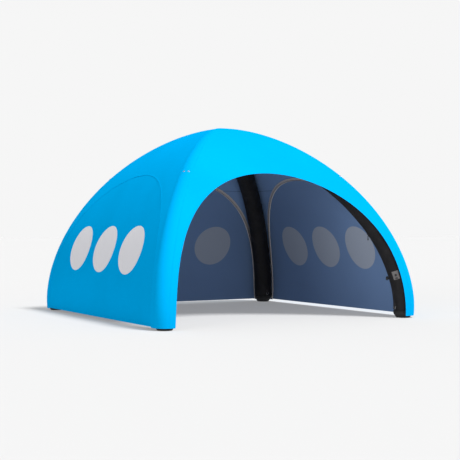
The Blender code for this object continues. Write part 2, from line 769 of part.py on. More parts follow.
def make_valve(sleeve, pump):
    """Inflation valve on the pump leg's inner line, with a flip cap."""
    place = fitting_matrix(PUMP_LEG, VALVE_HEIGHT, INWARD, SLEEVE_RADIUS)
    flange_low, flange_high = VALVE_FLANGE_SPAN
    neck_low, neck_high = VALVE_NECK_SPAN
    body = [(0, -VALVE_STEM_DEPTH), (VALVE_STEM_RADIUS, -VALVE_STEM_DEPTH),
            (VALVE_STEM_RADIUS, flange_low), (VALVE_FLANGE_RADIUS, flange_low),
            (VALVE_FLANGE_RADIUS, flange_high), (VALVE_NECK_RADIUS, neck_low),
            (VALVE_NECK_RADIUS, neck_high), (0, neck_high)]
    verts, faces = turned(body, ROUND_SIDES)
    add_mesh("valve_body", verts, faces, "plastic_black", place @ UPRIGHT)
    verts, faces = rod(VALVE_STEM_RADIUS + VALVE_BORE_GAP, CUTTER_REACH)
    bore = add_mesh("valve_hole_cutter", verts, faces, "plastic_grey", place @ UPRIGHT)
    cut(sleeve, bore)
    cut(pump, bore)
    cap = [(0, 0), (VALVE_CAP_RADIUS, 0), (VALVE_CAP_RADIUS, VALVE_CAP_SIDE),
           (VALVE_CAP_RADIUS - VALVE_CAP_CHAMFER, VALVE_CAP_TOP), (0, VALVE_CAP_TOP)]
    verts, faces = turned(cap, ROUND_SIDES)
    verts = [(x, z, -y - VALVE_HINGE_DROP) for x, y, z in verts]
    add_mesh("valve_cap", verts, faces, "plastic_black",
             place @ Matrix.Translation((0, VALVE_CAP_PLACE, VALVE_HINGE_DROP)))


def tab_outline(height, loop_inner, loop_outer, centre_y):
    """Side view of a webbing tab whose lower end wraps a bar at (centre_y, 0)."""
    thick = loop_outer - loop_inner
    points = [(0.0, height), (0.0, -loop_outer * 0.2), (centre_y - loop_outer, 0.0)]
    points += [(centre_y + loop_outer * math.cos(t), loop_outer * math.sin(t))
               for t in np.radians(np.linspace(200, 480, 9))]
    points += [(centre_y + loop_inner * math.cos(t), loop_inner * math.sin(t))
               for t in np.radians(np.linspace(480, 180, 9))]
    points += [(centre_y - loop_inner, thick * 1.5), (thick, thick * 3), (thick, height)]
    return points


def make_tab(name, place, shape):
    """Webbing tab on a leg; returns where its bar is, in the frame of place."""
    height, width, fold_inner, fold_outer, bar_out = shape
    verts, faces = extruded(tab_outline(height, fold_inner, fold_outer, bar_out), width)
    add_mesh(name, verts, faces, "webbing", place)
    return Vector((0, bar_out, 0))


def make_anchor(leg, facing):
    """Webbing tab near a foot with a steel ring for a peg or ballast."""
    place = fitting_matrix(leg, ANCHOR_HEIGHT, facing, SLEEVE_RADIUS + TAB_GAP)
    bar = make_tab("anchor_tab_" + leg, place, ANCHOR_TAB)
    half = RING_HALF_WIDTH
    path = [(x, 0, 0) for x in (half, half / 3, -half / 3, -half)]
    path += [(-half * math.cos(t), 0, -RING_DROP - half * math.sin(t))
             for t in np.linspace(0, math.pi, 9)]
    verts, faces = swept_loop(path, RING_WIRE, WIRE_SIDES)
    add_mesh("anchor_ring_" + leg, verts, faces, "ring_steel", place @ Matrix.Translation(bar))


def make_accessory_loop():
    """Accessory loop that hangs from a tab on the pump leg's inner line."""
    place = fitting_matrix(PUMP_LEG, LOOP_HEIGHT, INWARD, SLEEVE_RADIUS + TAB_GAP)
    bar = make_tab("loop_tab", place, LOOP_TAB)
    across = place.to_3x3() @ Vector((1, 0, 0))
    up = Vector((0, 0, 1))
    hang = Matrix((across, up.cross(across), up)).transposed().to_4x4()
    half = LOOP_HALF_WIDTH
    side = [(half * wide, 0, z) for wide, z in (LOOP_SHOULDER, LOOP_WAIST, LOOP_SWELL)]
    path = [(half, 0, 0), (0, 0, 0), (-half, 0, 0)] + [(-x, y, z) for x, y, z in side]
    path += [(-half * math.cos(t), 0, -LOOP_BEND_DROP - half * math.sin(t))
             for t in np.linspace(0, math.pi, 7)]
    verts, faces = swept_loop(path + side[::-1], LOOP_WIRE, WIRE_SIDES)
    add_mesh("accessory_loop", verts, faces, "plastic_black",
             Matrix.Translation(place @ bar) @ hang)


def make_guy_patch(leg):
    """Saddle patch over a leg cover's ridge, where the guy-line eyelets are set."""
    angle = angle_at_height(EYELET_HEIGHT)
    point, tangent, normal, side = leg_frame(leg, angle)
    grids = []
    for radius in (CANOPY_OFFSET + PATCH_LIFT + PATCH_THICK, CANOPY_OFFSET + PATCH_LIFT):
        grids.append([[point + along * tangent + radius * (math.cos(t) * normal + math.sin(t) * side)
                       for t in np.linspace(-PATCH_HALF_TURN, PATCH_HALF_TURN, PATCH_COLUMNS)]
                      for along in (-PATCH_LENGTH / 2, PATCH_LENGTH / 2)])
    verts, faces = grid_solid(*grids)
    add_mesh("guy_patch_" + leg, verts, faces, "canopy_fabric")


# ---------------------------------------------------------------- zip sliders

def circle_through(a, b, c):
    """Centre and unit axis of the circle through three points, turning from a to c."""
    ab, ac = b - a, c - a
    axis = ab.cross(ac)
    to_centre = (ac.length_squared * axis.cross(ab) + ab.length_squared * ac.cross(axis))
    return a + to_centre / (2 * axis.length_squared), axis.normalized()


def slider_track(side):
    """Arc that a wall's zip slider follows up the lower, nearly round part of its zip."""
    heights = (SLIDER_LOW, (SLIDER_LOW + SLIDER_HIGH) / 2, SLIDER_HIGH)
    stops = [side_point(side, arch_half_width(z), angle_at_height(z), SLIDER_DEPTH)
             for z in heights]
    middle, axis = circle_through(*stops)
    return stops[0], stops[-1], middle, axis


def make_slider(side):
    start, _, middle, axis = slider_track(side)
    outer = side_point(side, arch_half_width(SLIDER_LOW), angle_at_height(SLIDER_LOW), 0)
    inward = (start - outer).normalized()
    along = axis.cross(start - middle).normalized()
    across = inward.cross(along).normalized()
    inward = along.cross(across).normalized()
    frame = Matrix((across, inward, along)).transposed().to_4x4()
    track = empty_at("zip_track_" + side, middle)
    width, thick, length = SLIDER_SIZE
    place = Matrix.Translation(start) @ frame
    bridge = SLIDER_BRIDGE
    foot, rise, fall, heel = SLIDER_BRIDGE_SPAN
    outline = [(0, -length / 2), (thick, -length / 2), (thick, foot), (thick + bridge, rise),
               (thick + bridge, fall), (thick, heel), (thick, length / 2), (0, length / 2)]
    verts, faces = extruded(outline, width)
    verts = [(x * (SLIDER_NECK if z < 0 else 1.0), y, z) for x, y, z in verts]
    slider = add_mesh("zip_slider_" + side, verts, faces, "plastic_black", place, track)

    pull_width, pull_thick, pull_length = PULL_SIZE
    pivot = place @ Matrix.Translation((0, thick + bridge, STUD_PLACE))
    head = 2 * PULL_GAP + pull_thick
    stud = [(0, -bridge / 2), (STUD_RADIUS, -bridge / 2), (STUD_RADIUS, head),
            (STUD_HEAD_RADIUS, head), (STUD_HEAD_RADIUS * 0.6, head + STUD_HEAD_CROWN),
            (0, head + STUD_HEAD_CROWN)]
    verts, faces = turned(stud, STUD_SIDES)
    join(slider, add_mesh("zip_stud_" + side, verts, faces, "plastic_black", pivot @ UPRIGHT))

    middle_of_pull = (0, PULL_GAP + pull_thick / 2, pull_width / 2 - pull_length / 2)
    verts, faces = block(PULL_SIZE, middle_of_pull, PULL_BEVEL)
    pull = add_mesh("zip_pull_" + side, verts, faces, "tape_grey", pivot, track)
    eye = [(0, -pull_thick), (PULL_EYE_RADIUS, -pull_thick), (PULL_EYE_RADIUS, 3 * pull_thick),
           (0, 3 * pull_thick)]
    verts, faces = turned(eye, STUD_SIDES)
    cut(pull, add_mesh("pull_eye_cutter_" + side, verts, faces, "tape_grey", pivot @ UPRIGHT))


def main():
    for old in list(bpy.data.objects):
        bpy.data.objects.remove(old, do_unlink=True)
    sleeves = {leg: make_sleeve(leg) for leg in LEGS}
    for leg in LEGS:
        make_bladder(leg)
        make_foot(leg)
        make_leg_cover(leg)
        make_guy_patch(leg)
    make_crown_chamber()
    make_relief_valve()
    make_crown_cover()
    for side in SIDES:
        make_roof_panel(side)
    for side in ("left", "rear", "right"):
        make_wall(side)
        make_arch_band("zip_tape_" + side, side, TAPE_WIDTH)
        make_slider(side)
    make_arch_band("front_binding", "front", BINDING_WIDTH)
    make_battery()
    pump = make_pump()
    make_pump_panel(sleeves[PUMP_LEG], pump)
    make_valve(sleeves[PUMP_LEG], pump)
    for leg, facing in (("front_left", 90), ("front_right", 180), ("rear_right", 270),
                        ("rear_left", 0)):
        make_anchor(leg, facing)
    make_accessory_loop()


main()
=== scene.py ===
"""The looks of a four-legged air-beam tent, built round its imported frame.

Metres, +Z up, the floor at Z = 0.  The tent's open side faces -Y and its other three sides are
closed by fabric walls that zip into the same arch.
"""
import contextlib
import json
import math

import bmesh
import bpy
import numpy as np
from mathutils import Matrix, Vector


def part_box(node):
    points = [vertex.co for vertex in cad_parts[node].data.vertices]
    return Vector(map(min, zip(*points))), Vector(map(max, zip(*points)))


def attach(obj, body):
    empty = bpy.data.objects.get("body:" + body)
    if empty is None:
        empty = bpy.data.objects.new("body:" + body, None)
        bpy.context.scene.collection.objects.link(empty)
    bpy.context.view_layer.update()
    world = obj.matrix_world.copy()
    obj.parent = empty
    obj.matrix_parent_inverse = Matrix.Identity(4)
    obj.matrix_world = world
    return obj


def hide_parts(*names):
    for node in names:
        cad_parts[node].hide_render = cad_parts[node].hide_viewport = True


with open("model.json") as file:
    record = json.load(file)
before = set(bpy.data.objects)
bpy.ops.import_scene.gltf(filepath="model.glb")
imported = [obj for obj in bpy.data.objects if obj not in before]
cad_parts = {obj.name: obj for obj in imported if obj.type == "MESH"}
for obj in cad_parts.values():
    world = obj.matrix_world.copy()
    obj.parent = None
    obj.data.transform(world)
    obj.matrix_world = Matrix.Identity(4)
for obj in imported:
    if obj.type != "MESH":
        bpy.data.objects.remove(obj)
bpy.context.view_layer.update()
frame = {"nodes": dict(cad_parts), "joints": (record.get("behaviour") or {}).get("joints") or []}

ROOT = "tent"

# Leg centre line: (rho / REACH) ^ SPREAD_POWER + ((z - BULGE_HEIGHT) / RISE) ^ RISE_POWER = 1
REACH = 2.625
RISE = 2.390
BULGE_HEIGHT = 0.163
SPREAD_POWER = 1.68
RISE_POWER = 1.81
SLEEVE_RADIUS = 0.135
CANOPY_OFFSET = 0.152

# Arch: (x / ARCH_HALF) ^ 2 + ((z - ARCH_BASE) / (ARCH_TOP - ARCH_BASE)) ^ ARCH_POWER = 1
ARCH_HALF = 1.783
ARCH_TOP = 1.985
ARCH_BASE = -0.213
ARCH_POWER = 2.78

LEGS = {"front_left": (-1, -1), "front_right": (1, -1), "rear_right": (1, 1), "rear_left": (-1, 1)}
SIDES = {"front": 0, "right": 90, "rear": 180, "left": 270}
WALLS = ("left", "rear", "right")

# Fabric
COVER_BOTTOM = 0.030
WALL_BOTTOM = 0.042
FABRIC_THICK = 0.0012
WALL_DEPTH = 0.0016
WALL_TUCK = 0.012
HEM_WIDTH = 0.030
LINING_SEAM = 1.85
HEM_THICK = 0.0014
DISC_RADIUS = 0.335
DISC_SPACING = 0.868
DISC_HEIGHT = 0.965

# Zips
TAPE_INNER = 0.0150
TAPE_OUTER = 0.0370
TAPE_EDGE_DEPTH = 0.0062
TAPE_CREST_DEPTH = 0.0165
COIL_RADIUS = 0.0034


# ---------------------------------------------------------------- the tent's curves

def centre(angle):
    """Distance from the tent's axis and height of a leg's centre line."""
    c, s = np.cos(angle), np.sin(angle)
    rho = REACH * np.abs(c) ** (2 / SPREAD_POWER)
    return rho, BULGE_HEIGHT + RISE * np.sign(s) * np.abs(s) ** (2 / RISE_POWER)


def slope(angle, stretch=1.0):
    """Unit tangent towards the crown, with rho multiplied by stretch first."""
    step = 1e-4
    r0, z0 = centre(angle - step)
    r1, z1 = centre(angle + step)
    dr, dz = (r1 - r0) * stretch, z1 - z0
    length = np.hypot(dr, dz)
    return dr / length, dz / length


def side_profile(angle, offset):
    """Distance from the tent's axis and height of a side's ruled surface."""
    rho, z = centre(angle)
    tr, tz = slope(angle, stretch=1 / math.sqrt(2))
    return rho / math.sqrt(2) + offset * tz, z - offset * tr


def leg_frame(leg, angle):
    """Centre points, outward normals and the horizontal sideways direction of a leg."""
    dx, dy = LEGS[leg]
    out = np.array([dx, dy, 0]) / math.sqrt(2)
    up = np.array([0, 0, 1.0])
    rho, z = (np.asarray(v)[..., None] for v in centre(angle))
    tr, tz = (np.asarray(v)[..., None] for v in slope(angle))
    return out * rho + up * z, out * tz - up * tr, np.array([-dy, dx, 0]) / math.sqrt(2)


LOWEST = -0.115
NEARLY_TOP = math.pi / 2 - 1e-3
ARCH_CROWN = math.pi / 2 - 1e-4
_ANGLES = np.linspace(LOWEST, NEARLY_TOP, 6000)
_RHO, _Z = centre(_ANGLES)
_LEG_RUN = np.concatenate([[0], np.cumsum(np.hypot(np.diff(_RHO), np.diff(_Z)))])
_H, _HEIGHT = side_profile(_ANGLES, CANOPY_OFFSET)
_SIDE_RUN = np.concatenate([[0], np.cumsum(np.hypot(np.diff(_H), np.diff(_HEIGHT)))])
_SIDE_RUN -= np.interp(0.0, _HEIGHT, _SIDE_RUN)


def angle_at_height(z):
    """Angle where the canopy's side surface is at a height."""
    return np.interp(z, _HEIGHT, _ANGLES)


def run_at(angle):
    """Length of fabric from the floor up a side's surface."""
    return np.interp(angle, _ANGLES, _SIDE_RUN)


def leg_run_at(angle):
    """Length along a leg's centre line, from its lowest point."""
    return np.interp(angle, _ANGLES, _LEG_RUN)


def leg_angles(low, high, count, power=1.0):
    """Angles spread along a leg's length."""
    a, b = leg_run_at([low, high])
    return np.interp(a + (b - a) * np.linspace(0, 1, count) ** power, _LEG_RUN, _ANGLES)


def leg_angle_at(z):
    return float(np.interp(z, _Z, _ANGLES))


def angle_at_reach(rho):
    return math.acos((rho / REACH) ** (SPREAD_POWER / 2))


def on_side(side, x, angle, depth=0.0):
    """Points x along a side, as seen on the front and turned to the named one."""
    h, z = side_profile(angle, CANOPY_OFFSET - depth)
    turn = math.radians(SIDES[side])
    x, h, z = np.broadcast_arrays(x, h, z)
    return np.stack([x * math.cos(turn) + h * math.sin(turn),
                     x * math.sin(turn) - h * math.cos(turn), z], axis=-1)


def on_leg(leg, angle, turn, radius):
    """Points round a leg; turn 0 faces out and up from the tent."""
    point, normal, side = leg_frame(leg, angle)
    turn, radius = np.asarray(turn)[..., None], np.asarray(radius)[..., None]
    return point + radius * (np.cos(turn) * normal + np.sin(turn) * side)


def arch_turn(z):
    return math.asin(((z - ARCH_BASE) / (ARCH_TOP - ARCH_BASE)) ** (ARCH_POWER / 2))


def arch_edge(turn, outward=0.0):
    """Where the arch runs, as (x, angle), moved outward within the fabric's surface."""
    def flat(t):
        z = ARCH_BASE + (ARCH_TOP - ARCH_BASE) * np.sin(t) ** (2 / ARCH_POWER)
        return ARCH_HALF * np.cos(t), run_at(angle_at_height(z))
    step = 1e-3
    x0, v0 = flat(turn - step)
    x1, v1 = flat(turn + step)
    x, v = flat(turn)
    length = np.hypot(x1 - x0, v1 - v0)
    nx, nv = (v1 - v0) / length, -(x1 - x0) / length
    return x + outward * nx, np.interp(v + outward * nv, _SIDE_RUN, _ANGLES)


def ripple(a, b, seed, waves, size):
    """Smooth unevenness: a sum of waves with fixed directions and phases."""
    rng = np.random.default_rng(seed)
    total = np.zeros(np.broadcast(a, b).shape)
    for _ in range(waves):
        fa, fb, phase = rng.uniform(-1, 1), rng.uniform(-1, 1), rng.uniform(0, 2 * math.pi)
        total = total + np.sin((a * fa + b * fb) / size * 2 * math.pi + phase)
    return total / math.sqrt(waves)


# ---------------------------------------------------------------- mesh building

SEWN_GAP = 1e-4
SPECK = 1e-6
CLOTH_CREASE = 50


def mm(*points):
    """Points of a section or profile, given in millimetres."""
    return [tuple(v / 1000 for v in point) for point in points]


def pair(a, b):
    return np.stack(np.broadcast_arrays(a, b), axis=-1)


@contextlib.contextmanager
def reworked(mesh):
    """A mesh opened for editing and written back."""
    work = bmesh.new()
    work.from_mesh(mesh)
    yield work
    work.to_mesh(mesh)
    work.free()


def linked(name, data):
    obj = bpy.data.objects.new(name, data)
    bpy.context.collection.objects.link(obj)
    return obj


class Patchwork:
    """Grids of points sewn into one mesh, with its UV map in metres of fabric."""

    def __init__(self):
        self.verts, self.faces, self.uvs = [], [], []

    def grid(self, points, uv, flip=False):
        rows, cols = points.shape[:2]
        base = len(self.verts)
        self.verts += [tuple(p) for p in points.reshape(-1, 3)]
        flat = uv.reshape(-1, 2)
        for i in range(rows - 1):
            for j in range(cols - 1):
                a, b = i * cols + j, (i + 1) * cols + j
                quad = (a, a + 1, b + 1, b)
                quad = quad[::-1] if flip else quad
                self.faces.append(tuple(base + k for k in quad))
                self.uvs += [tuple(flat[k]) for k in quad]

    def cap(self, ring):
        """Fan of faces from a ring of points to its middle."""
        fan = np.stack([np.concatenate([ring, ring[:1]]), np.tile(ring.mean(axis=0), (len(ring) + 1, 1))])
        self.grid(fan, np.zeros(fan.shape[:2] + (2,)))

    def build(self, name, *looks, merge=SEWN_GAP):
        mesh = bpy.data.meshes.new(name)
        mesh.from_pydata(self.verts, [], self.faces)
        layer = mesh.uv_layers.new(name="fabric")
        layer.data.foreach_set("uv", [c for uv in self.uvs for c in uv])
        with reworked(mesh) as work:
            bmesh.ops.remove_doubles(work, verts=work.verts, dist=merge)
            bmesh.ops.dissolve_degenerate(work, edges=work.edges, dist=SPECK)
        mesh.shade_smooth()
        for look in looks:
            mesh.materials.append(LOOKS[look])
        return linked(name, mesh)


def cloth(name, points, uv, *looks, merge=SEWN_GAP):
    """A single grid of points as a sheet."""
    work = Patchwork()
    work.grid(points, uv)
    return work.build(name, *looks, merge=merge)


def fix_outside(obj):
    with reworked(obj.data) as work:
        bmesh.ops.recalc_face_normals(work, faces=work.faces)
    obj.data.set_sharp_from_angle(angle=math.radians(CLOTH_CREASE))
    return obj


def thicken(obj, thick, inner_material=0):
    """Give a sheet its thickness on the inside."""
    solid = obj.modifiers.new("cloth", "SOLIDIFY")
    solid.thickness = thick
    solid.offset = -1.0
    solid.material_offset = inner_material
    shaped = obj.evaluated_get(bpy.context.evaluated_depsgraph_get())
    mesh = bpy.data.meshes.new_from_object(shaped)
    obj.modifiers.clear()
    obj.data = mesh
    mesh.set_sharp_from_angle(angle=math.radians(CLOTH_CREASE))
    return obj


def mesh_object(name, verts, faces, mat, smooth_angle=40):
    mesh = bpy.data.meshes.new(name)
    mesh.from_pydata([tuple(v) for v in verts], [], faces)
    with reworked(mesh) as work:
        bmesh.ops.recalc_face_normals(work, faces=work.faces)
    mesh.shade_smooth()
    mesh.set_sharp_from_angle(angle=math.radians(smooth_angle))
    mesh.materials.append(mat)
    return linked(name, mesh)


def place_piece(obj, slot, *replaces, body=ROOT):
    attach(obj, body)
    if replaces:
        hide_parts(*replaces)


def turned(profile, segments):
    """Solid of revolution about local Z; profile is (radius, z), radius 0 only at its two ends."""
    verts, faces, loops = [], [], []
    for radius, z in profile:
        if radius == 0:
            loops.append([len(verts)] * segments)
            verts.append((0, 0, z))
            continue
        loops.append([len(verts) + k for k in range(segments)])
        for k in range(segments):
            turn = 2 * math.pi * k / segments
            verts.append((radius * math.cos(turn), radius * math.sin(turn), z))
    pairs = list(zip(loops, loops[1:]))
    if profile[0][0] != 0:
        pairs.append((loops[-1], loops[0]))
    for low, high in pairs:
        for k in range(segments):
            n = (k + 1) % segments
            faces.append(tuple(dict.fromkeys([low[k], low[n], high[n], high[k]])))
    return verts, faces


# ---------------------------------------------------------------- materials

class Shade:
    """A Principled material and short ways to wire its nodes."""

    def __init__(self, name, roughness, metallic=0.0, specular=0.5):
        self.mat = bpy.data.materials.new(name)
        self.mat.use_nodes = True
        self.tree = self.mat.node_tree
        self.shader = self.tree.nodes["Principled BSDF"]
        self.shader.inputs["Roughness"].default_value = roughness
        self.shader.inputs["Metallic"].default_value = metallic
        self.shader.inputs["Specular IOR Level"].default_value = specular

    def put(self, socket, value):
        if isinstance(value, bpy.types.NodeSocket):
            self.tree.links.new(value, socket)
        else:
            socket.default_value = value

    def node(self, kind, settings=None, **inputs):
        node = self.tree.nodes.new(kind)
        for key, value in (settings or {}).items():
            setattr(node, key, value)
        for key, value in inputs.items():
            self.put(node.inputs[key.replace("_", " ")], value)
        return node

    def math(self, operation, a, b=0.0, c=None):
        node = self.tree.nodes.new("ShaderNodeMath")
        node.operation = operation
        self.put(node.inputs[0], a)
        self.put(node.inputs[1], b)
        if c is not None:
            self.put(node.inputs[2], c)
        return node.outputs[0]

    def times(self, a, b):
        return self.math("MULTIPLY", a, b)

    def away(self, value, spot):
        return self.math("ABSOLUTE", self.math("SUBTRACT", value, spot))

    def sine(self, value, pitch):
        return self.math("SINE", self.times(value, 2 * math.pi / pitch))

    def lifted(self, wave):
        """A wave from -1 to 1 as one from 0 to 1."""
        return self.math("MULTIPLY_ADD", wave, 0.5, 0.5)

    def dashes(self, value, pitch, low, high):
        """1 along each stitch of a row and 0 in the gaps."""
        return self.span(self.math("FRACT", self.math("DIVIDE", value, pitch)), low, high, 1.0, 0.0)

    def span(self, value, low, high, to_low=0.0, to_high=1.0):
        node = self.node("ShaderNodeMapRange", {"interpolation_type": "SMOOTHSTEP"})
        for key, number in (("Value", value), ("From Min", low), ("From Max", high),
                            ("To Min", to_low), ("To Max", to_high)):
            self.put(node.inputs[key], number)
        return node.outputs["Result"]

    def mix(self, factor, a, b):
        node = self.node("ShaderNodeMix", {"data_type": "RGBA"})
        self.put(node.inputs[0], factor)
        for socket, value in ((node.inputs[6], a), (node.inputs[7], b)):
            self.put(socket, value if isinstance(value, bpy.types.NodeSocket) else (*value, 1.0))
        return node.outputs[2]

    def uv(self):
        """The fabric's own two directions, in metres."""
        split = self.node("ShaderNodeSeparateXYZ",
                          Vector=self.node("ShaderNodeTexCoord").outputs["UV"])
        return split.outputs[0], split.outputs[1]

    def place(self):
        return self.node("ShaderNodeTexCoord").outputs["Object"]

    def noise(self, scale, detail=3.0, rough=0.5, vector=None):
        return self.node("ShaderNodeTexNoise", Vector=vector or self.place(), Scale=scale,
                         Detail=detail, Roughness=rough).outputs[0]

    def bump(self, height, distance, strength=1.0, after=None):
        node = self.node("ShaderNodeBump", Height=height, Distance=distance, Strength=strength)
        if after is not None:
            self.put(node.inputs["Normal"], after)
        return node.outputs["Normal"]

    def finish(self, colour, normal=None, roughness=None):
        self.put(self.shader.inputs["Base Color"], colour)
        if normal is not None:
            self.put(self.shader.inputs["Normal"], normal)
        if roughness is not None:
            self.put(self.shader.inputs["Roughness"], roughness)
        return self.mat


def scaled(colour, factor):
    return tuple(min(1.0, c * factor) for c in colour)


FABRIC_ROUGHNESS = 0.8
FABRIC_PITCH = 0.0024
SLEEVE_PITCH = 0.0032
TAPE_PITCH = 0.0016
STITCH_PITCH = 0.0032
TEETH_PITCH = 0.0028
PRINT_EDGE = 0.0015


def weave(shade, pitch):
    """Height of a plain weave, 0 to 1, from the fabric's own directions."""
    u, v = shade.uv()
    return shade.lifted(shade.times(shade.sine(u, pitch), shade.sine(v, pitch)))


def fabric(name, colour, printed=None, seam=None):
    """Coated polyester, with a print of three discs where a second colour is given."""
    shade = Shade(name, FABRIC_ROUGHNESS, specular=0.0)
    base = shade.mix(shade.span(shade.noise(0.9, 2.0), 0.3, 0.7), scaled(colour, 0.97), scaled(colour, 1.03))
    u, v = shade.uv()
    if printed:
        rise = shade.math("SUBTRACT", v, float(run_at(angle_at_height(DISC_HEIGHT))))
        off = shade.math("ABSOLUTE", u)
        nearest = shade.math("MINIMUM", off, shade.away(off, DISC_SPACING))
        reach = shade.math("SQRT", shade.math("ADD", shade.times(nearest, nearest), shade.times(rise, rise)))
        inside = shade.span(reach, DISC_RADIUS - PRINT_EDGE, DISC_RADIUS + PRINT_EDGE, 1.0, 0.0)
        base = shade.mix(inside, base, printed)
    if seam:
        line = shade.span(shade.away(v, float(run_at(angle_at_height(seam)))), 0.003, 0.007, 0.6, 0.0)
        base = shade.mix(line, base, scaled(colour, 0.25))
    base = shade.mix(shade.times(weave(shade, FABRIC_PITCH), 0.10), base, (0.0, 0.0, 0.0))
    return shade.finish(base, shade.bump(shade.noise(14.0, 3.0), 0.0006, 0.5))


def sleeve_cloth():
    """Heavy black woven sleeve, coarse enough to catch light along its threads."""
    shade = Shade("sleeve_cloth", 0.62, specular=0.20)
    threads = weave(shade, SLEEVE_PITCH)
    dust = shade.span(shade.noise(6.0, 4.0), 0.45, 0.75)
    base = shade.mix(threads, (0.005, 0.0048, 0.0055), (0.013, 0.0122, 0.0135))
    base = shade.mix(shade.times(dust, 0.35), base, (0.026, 0.024, 0.0265))
    folds = shade.span(shade.noise(7.0, 3.0, 0.45), 0.30, 0.72)
    normal = shade.bump(folds, 0.011, 0.8)
    return shade.finish(base, shade.bump(shade.noise(30.0, 3.0), 0.0008, 0.6, normal))


def ribbed_tape(name, colour):
    """Woven tape with ribs across it and a row of stitches near each edge."""
    shade = Shade(name, FABRIC_ROUGHNESS, specular=0.2)
    u, v = shade.uv()
    ribs = shade.lifted(shade.sine(u, TAPE_PITCH))
    row = shade.math("MINIMUM", shade.away(v, 0.004 - TAPE_INNER), shade.away(v, TAPE_OUTER - 0.005))
    stitch = shade.times(shade.span(row, 0.0004, 0.0010, 1.0, 0.0), shade.dashes(u, 0.005, 0.60, 0.75))
    base = shade.mix(ribs, scaled(colour, 0.8), scaled(colour, 1.1))
    base = shade.mix(stitch, base, scaled(colour, 2.2))
    return shade.finish(base, shade.bump(stitch, 0.0004, 1.0, shade.bump(ribs, 0.0002, 0.6)))


def stitched(name, colour, rows):
    """The canopy's cloth folded into a seam, with rows of stitches at distances across it."""
    shade = Shade(name, FABRIC_ROUGHNESS, specular=0.0)
    u, v = shade.uv()
    thread = 0.0
    for row in rows:
        thread = shade.math("ADD", thread, shade.span(shade.away(v, row), 0.0003, 0.0007, 1.0, 0.0))
    thread = shade.times(thread, shade.dashes(u, STITCH_PITCH, 0.62, 0.72))
    base = shade.mix(shade.span(shade.noise(9.0), 0.3, 0.7), scaled(colour, 0.96), scaled(colour, 1.02))
    base = shade.mix(shade.times(thread, 0.6), base, scaled(colour, 0.45))
    return shade.finish(base, shade.bump(thread, 0.0004, 1.0))


def coil_teeth():
    shade = Shade("coil_teeth", 0.4, specular=0.4)
    teeth = shade.lifted(shade.sine(shade.uv()[0], TEETH_PITCH))
    base = shade.mix(teeth, (0.060, 0.057, 0.055), (0.230, 0.215, 0.205))
    return shade.finish(base, shade.bump(teeth, 0.0012, 1.0))


def moulded(name, colour, roughness=0.5, grain=900.0, depth=0.00012):
    """Moulded plastic or rubber with a fine spark-eroded grain and slight scuffs."""
    shade = Shade(name, roughness, specular=0.4)
    grains = shade.noise(grain, 2.0)
    scuffs = shade.span(shade.noise(40.0, 5.0, 0.65), 0.55, 0.8)
    base = shade.mix(shade.times(scuffs, 0.3), colour, scaled(colour, 2.0))
    rough = shade.span(scuffs, 0.0, 1.0, roughness, min(1.0, roughness + 0.2))
    return shade.finish(base, shade.bump(grains, depth, 0.6), rough)


def brushed_steel():
    shade = Shade("ring_steel_look", 0.3, metallic=1.0)
    stretch = shade.node("ShaderNodeMapping", Vector=shade.place())
    stretch.inputs["Scale"].default_value = (40, 40, 900)
    lines = shade.noise(3.0, 3.0, vector=stretch.outputs[0])
    base = shade.mix(lines, (0.34, 0.34, 0.35), (0.52, 0.52, 0.53))
    return shade.finish(base, shade.bump(lines, 0.00004, 0.5), shade.span(lines, 0, 1, 0.22, 0.42))


def webbing_cloth():
    """Webbing with its ridges along the strap."""
    shade, colour = Shade("webbing_cloth", 0.78, specular=0.2), (0.030, 0.028, 0.030)
    x, y, z = shade.node("ShaderNodeSeparateXYZ", Vector=shade.place()).outputs
    lines = shade.math("ADD", shade.times(x, 2600.0), shade.times(y, 2600.0))
    zigzag = shade.times(shade.math("PINGPONG", z, 0.004), 900.0)
    ridges = shade.lifted(shade.math("SINE", shade.math("ADD", lines, zigzag)))
    base = shade.mix(ridges, scaled(colour, 0.6), scaled(colour, 1.3))
    return shade.finish(base, shade.bump(ridges, 0.0003, 0.7))


def bladder_film():
    shade = Shade("bladder_film_look", 0.35, specular=0.5)
    wrinkle = shade.noise(18.0, 4.0, 0.6)
    base = shade.mix(wrinkle, (0.66, 0.67, 0.65), (0.78, 0.79, 0.77))
    return shade.finish(base, shade.bump(wrinkle, 0.0015, 0.5))


def glowing_dot():
    shade = Shade("led_green", 0.3)
    shade.shader.inputs["Emission Strength"].default_value = 0.6
    shade.shader.inputs["Emission Color"].default_value = (0.05, 0.6, 0.25, 1.0)
    return shade.finish(shade.mix(shade.noise(400.0), (0.02, 0.25, 0.10), (0.03, 0.35, 0.15)))


CANOPY_BLUE = (0.0, 0.336, 0.712)
WALL_BLUE = (0.0, 0.322, 0.684)
# Painted light: the roof's lining is the wall lining made about a fifth lighter, for the brighter light on
# the roof's inside.
ROOF_LINING_PAINTED_LIGHTER = (0.180, 0.295, 0.530)
WALL_LINING = (0.150, 0.240, 0.425)
PRINT_WHITE = (0.655, 0.655, 0.690)
PRINT_BACK = (0.338, 0.382, 0.468)

